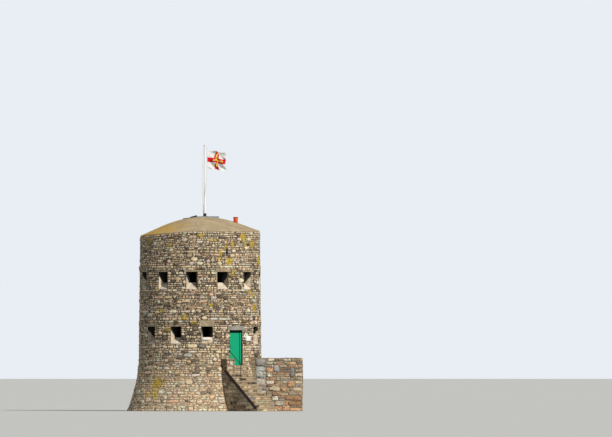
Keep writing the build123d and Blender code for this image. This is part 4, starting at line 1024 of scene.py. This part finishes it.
def bunting():
    """Woven cloth: a red cross on white, and a shorter gold cross on the red one."""
    sh = Shader("flag_bunting", 0.75)
    uv = sh.make("ShaderNodeUVMap", {}, "UV", uv_map="cloth")

    def stripe(axis, centre, half):
        away = sh.math(sh.math(sh.axis(axis, uv), centre, "SUBTRACT"), 0.0, "ABSOLUTE")
        return sh.ramp(away, half - 0.003, half + 0.003, 1.0, 0.0)

    def crossed(half_along, half_up, operation):
        along = stripe("X", FLAG_LENGTH / 2, half_along)
        up = stripe("Y", FLAG_HEIGHT / 2, half_up)
        return sh.math(along, up, operation)

    red = crossed(0.115, 0.115, "MAXIMUM")
    gold = sh.math(crossed(0.042, 0.042, "MAXIMUM"), crossed(0.36, 0.34, "MULTIPLY"), "MULTIPLY")
    colour = sh.mix(red, srgb(212, 212, 210), srgb(196, 14, 34))
    colour = sh.mix(gold, colour, srgb(224, 190, 76))
    threads = sh.math(sh.wave(160, "X", uv), sh.wave(160, "Y", uv), "MULTIPLY")
    colour = sh.shade(colour, sh.ramp(threads, 0, 1, 0.93, 1.0))
    colour = sh.shade(colour, sh.mottle(0.92, 1.02, 6, 3))
    return sh.finish(colour, 0.75, sh.bump(threads, 0.0006))


def make_flag():
    """The cloth, its folds swept along its length so that it keeps its true length, and a little drooped."""
    columns, rows = 96, 64
    s = np.linspace(0, FLAG_LENGTH, columns + 1)
    v = np.linspace(0, FLAG_HEIGHT, rows + 1)
    grid_s, grid_v = np.meshgrid(s, v, indexing="ij")
    growth = np.clip(grid_s / FLAG_SWING_LENGTH, 0, 1) ** 0.8
    fallen = FLAG_HEIGHT - grid_v
    heading = np.zeros_like(grid_s)
    for swing, slant, spacing, phase in FLAG_FOLDS:
        heading += swing * growth * np.sin(2 * math.pi * (grid_s - slant * fallen) / spacing + phase)
    step = FLAG_LENGTH / columns
    along = np.zeros_like(grid_s)
    side = np.zeros_like(grid_s)
    along[1:] = np.cumsum(np.cos((heading[1:] + heading[:-1]) / 2) * step, axis=0)
    side[1:] = np.cumsum(np.sin((heading[1:] + heading[:-1]) / 2) * step, axis=0)
    droop = FLAG_DROOP * (grid_s / FLAG_LENGTH) ** 1.3
    droop += 0.02 * growth * np.sin(2 * math.pi * grid_s / 0.8)
    direction = np.array([math.cos(FLAG_BEARING), math.sin(FLAG_BEARING)])
    aside = np.array([-direction[1], direction[0]])
    x = HOIST_X + along * direction[0] + side * aside[0]
    y = along * direction[1] + side * aside[1]
    z = FLAG_TOP - FLAG_HEIGHT + grid_v - droop
    points = np.stack([x, y, z], axis=-1).reshape(-1, 3)
    index = np.arange((columns + 1) * (rows + 1)).reshape(columns + 1, rows + 1)
    quads = np.stack([index[:-1, :-1], index[1:, :-1], index[1:, 1:], index[:-1, 1:]], axis=-1).reshape(-1, 4)
    no_triangles = np.zeros((0, 3), dtype=int)
    made = make_object("flag_cloth", points, quads, no_triangles, bunting())
    layer = made.data.uv_layers.new(name="cloth")
    corner = np.zeros(len(made.data.loops), dtype=np.int32)
    made.data.loops.foreach_get("vertex_index", corner)
    flat = np.stack([grid_s.ravel(), grid_v.ravel()], axis=-1)
    layer.data.foreach_set("uv", flat[corner].astype(np.float32).ravel())
    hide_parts("flag")


def beside(out, across, height):
    """A place at a height, out from the axis and across the doorway's centre line."""
    place = from_door(out, across)
    return Vector((place[0], place[1], height))


BAR_SIDES = 12


def swept(name, path, profile):
    """An iron bar along a path beside the doorway: a profile of (across, up) offsets, mitred and capped."""
    points = []
    for k, here in enumerate(path):
        before = (here - path[k - 1]).normalized() if k else (path[1] - here).normalized()
        after = (path[k + 1] - here).normalized() if k + 1 < len(path) else before
        along = (before + after).normalized()
        up = Vector(ACROSS).cross(along)
        points += [here + Vector(ACROSS) * a + up * (b / along.dot(after)) for a, b in profile]
    ring = len(profile)
    turn = [(n, (n + 1) % ring) for n in range(ring)]
    quads = [[k * ring + a, k * ring + b, (k + 1) * ring + b, (k + 1) * ring + a]
             for k in range(len(path) - 1) for a, b in turn]
    last = (len(path) - 1) * ring
    tips = [[b, a, len(points)] for a, b in turn] + [[last + a, last + b, len(points) + 1] for a, b in turn]
    points += [path[0], path[-1]]
    make_object(name, points, np.array(quads), np.array(tips), IRON, smooth=False)


def round_bar(radius):
    turns = [2 * math.pi * n / BAR_SIDES for n in range(BAR_SIDES)]
    return [(radius * math.cos(a), radius * math.sin(a)) for a in turns]


# Handrail: an iron bar from the wall beside the doorway, down over the pier to a post on the fourth tread
RAIL_ACROSS = -0.43
RAIL_OUT = 4.0
RAIL_HEIGHT = 2.35
RAIL_FOOT = ENTRANCE_FLOOR - 4 * RISER
WALL_END = beside(3.0, RAIL_ACROSS, 3.05)
BEND = beside(RAIL_OUT, RAIL_ACROSS, RAIL_HEIGHT)
FOOT = beside(RAIL_OUT, RAIL_ACROSS, RAIL_FOOT)
SLOPE = (WALL_END - BEND).normalized()
LIFT = Vector((0, 0, 1))
swept("handrail", [WALL_END, BEND + SLOPE * 0.04, BEND - LIFT * 0.03, FOOT], round_bar(0.018))
swept("rail_foot", [FOOT - LIFT * 0.002, FOOT + LIFT * 0.015], round_bar(0.055))
swept("rail_flange", [WALL_END - SLOPE * 0.07, WALL_END - SLOPE * 0.1], round_bar(0.045))

# A dark iron bar along the left end of the treads, standing in for the band of shade under their ends:
# painted shade
SHADE_BAR_PROFILE = [(-0.018, -0.08), (0.012, -0.08), (0.018, -0.074), (0.018, 0.074), (0.012, 0.08), (-0.018, 0.08)]


def along_flight(out):
    """A place on the left flank, just under the pitch line."""
    pitch_line = ENTRANCE_FLOOR - (out - STAIR_START) * RISER / GOING
    return beside(out, -STAIR_LEFT - 0.025, pitch_line - 0.095)


SHADE_BAR_TOP = along_flight(PIER_REACH - 0.12)
SHADE_BAR_FOOT = along_flight(STAIR_START + (STEP_COUNT - 1.3) * GOING)
swept("shade_bar", [SHADE_BAR_TOP, SHADE_BAR_FOOT], SHADE_BAR_PROFILE)


# Halyard: its two falls, each a free rope from the truck down to the cleat
ROPE_RADIUS = 0.006
LEFT_FALL = [(0.19, 0.0, 13.3597), (0.19, 0.0, 13.2597), (0.074, 0.0, 11.7454), (0.1583, 0.0, 10.131)]
RIGHT_FALL = [
    (0.29, 0.0, 13.3597),
    (0.29, 0.0, 13.3097),
    (0.35, 0.0, 13.16),
    (0.35, 0.0, 12.135),
    (0.315, -0.075, 11.3334),
    (0.22, -0.095, 10.7322),
    (0.1583, -0.02, 10.131),
]


def fall(name, route, length):
    """One fall of the halyard, along a smooth curve near its route. The length is not used."""
    curve = bpy.data.curves.new(name, "CURVE")
    curve.dimensions = "3D"
    spline = curve.splines.new("NURBS")
    spline.points.add(len(route) - 1)
    for point, place in zip(spline.points, route):
        point.co = (*place, 1.0)
    spline.order_u = 3
    spline.use_endpoint_u = True
    curve.resolution_u = 24
    curve.bevel_depth = ROPE_RADIUS
    curve.bevel_resolution = 3
    curve.use_fill_caps = True
    curve.materials.append(ROPE)
    made = bpy.data.objects.new(name, curve)
    bpy.context.scene.collection.objects.link(made)
    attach(made, "tower")
    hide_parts("halyard")


fall("halyard_left", LEFT_FALL, 3.232)
fall("halyard_right", RIGHT_FALL, 3.251)
make_flag()


# Stage, light and camera: a picture of so many pixels, each of so many metres at the tower
PICTURE_WIDTH = 612
PIXEL = 0.0503
SENSOR = 36
DISTANCE = 600.0
AIM_X = 5.33
AIM_Z = 9.68
EYE = 2.26
FLOOR_CORNERS = [(-900, -700, 0), (900, -700, 0), (900, 1500, 0), (-900, 1500, 0)]


def floor_material(name, colour):
    """A nearly even floor."""
    sh = Shader(name, 0.9)
    darker = (*(0.97 * part for part in colour[:3]), 1.0)
    return sh.finish(sh.mix(sh.mottle(0, 1, 0.35, 4), colour, darker), 0.9)


floor_mesh = bpy.data.meshes.new("studio_floor")
floor_mesh.from_pydata(FLOOR_CORNERS, [], [(0, 1, 2, 3)])
floor = bpy.data.objects.new("studio_floor", floor_mesh)
floor_mesh.materials.append(floor_material("floor_grey", srgb(190, 190, 187)))
bpy.context.scene.collection.objects.link(floor)

# The background is paler where it is seen, straight or in a reflection, than where it lights the scene
world = bpy.data.worlds.new("studio")
bpy.context.scene.world = world
world.use_nodes = True
tree = world.node_tree
background = tree.nodes["Background"]
background.inputs["Color"].default_value = srgb(222, 230, 240)
background.inputs["Strength"].default_value = 0.33
seen = tree.nodes.new("ShaderNodeBackground")
seen.inputs["Color"].default_value = srgb(232, 238, 244)
seen.inputs["Strength"].default_value = 1.0
rays = tree.nodes.new("ShaderNodeLightPath")
shown = rays.outputs["Is Camera Ray"]
for kind in ("Is Glossy Ray", "Is Transmission Ray"):
    either = tree.nodes.new("ShaderNodeMath")
    either.operation = "MAXIMUM"
    tree.links.new(shown, either.inputs[0])
    tree.links.new(rays.outputs[kind], either.inputs[1])
    shown = either.outputs[0]
blend = tree.nodes.new("ShaderNodeMixShader")
tree.links.new(shown, blend.inputs["Fac"])
tree.links.new(background.outputs[0], blend.inputs[1])
tree.links.new(seen.outputs[0], blend.inputs[2])
tree.links.new(blend.outputs[0], tree.nodes["World Output"].inputs["Surface"])


def lamp(name, bearing, elevation, strength, angle, colour):
    """A far soft lamp. The bearing is degrees to the right of the camera's side."""
    light = bpy.data.lights.new(name, "SUN")
    light.energy = strength
    light.angle = math.radians(angle)
    light.color = colour
    made = bpy.data.objects.new(name, light)
    side = math.radians(bearing)
    up = math.radians(elevation)
    towards = (math.sin(side) * math.cos(up), -math.cos(side) * math.cos(up), math.sin(up))
    made.rotation_euler = Vector(towards).to_track_quat("Z", "Y").to_euler()
    bpy.context.scene.collection.objects.link(made)


lamp("key", 37, 36, 4.0, 1.5, (1.0, 0.96, 0.9))
lamp("fill", -110, 35, 0.15, 30.0, (0.9, 0.95, 1.0))

camera_data = bpy.data.cameras.new("camera")
camera_data.sensor_width = SENSOR
camera_data.lens = SENSOR * DISTANCE / (PICTURE_WIDTH * PIXEL)
camera_data.clip_end = 4000
camera = bpy.data.objects.new("camera", camera_data)
camera.location = (0, -DISTANCE, EYE)
turn = math.atan2(AIM_X, DISTANCE)
camera.rotation_euler = (math.radians(90) + math.atan2(AIM_Z - EYE, DISTANCE), 0, -turn)
bpy.context.scene.collection.objects.link(camera)
bpy.context.scene.camera = camera
bpy.context.scene.view_settings.view_transform = "Standard"
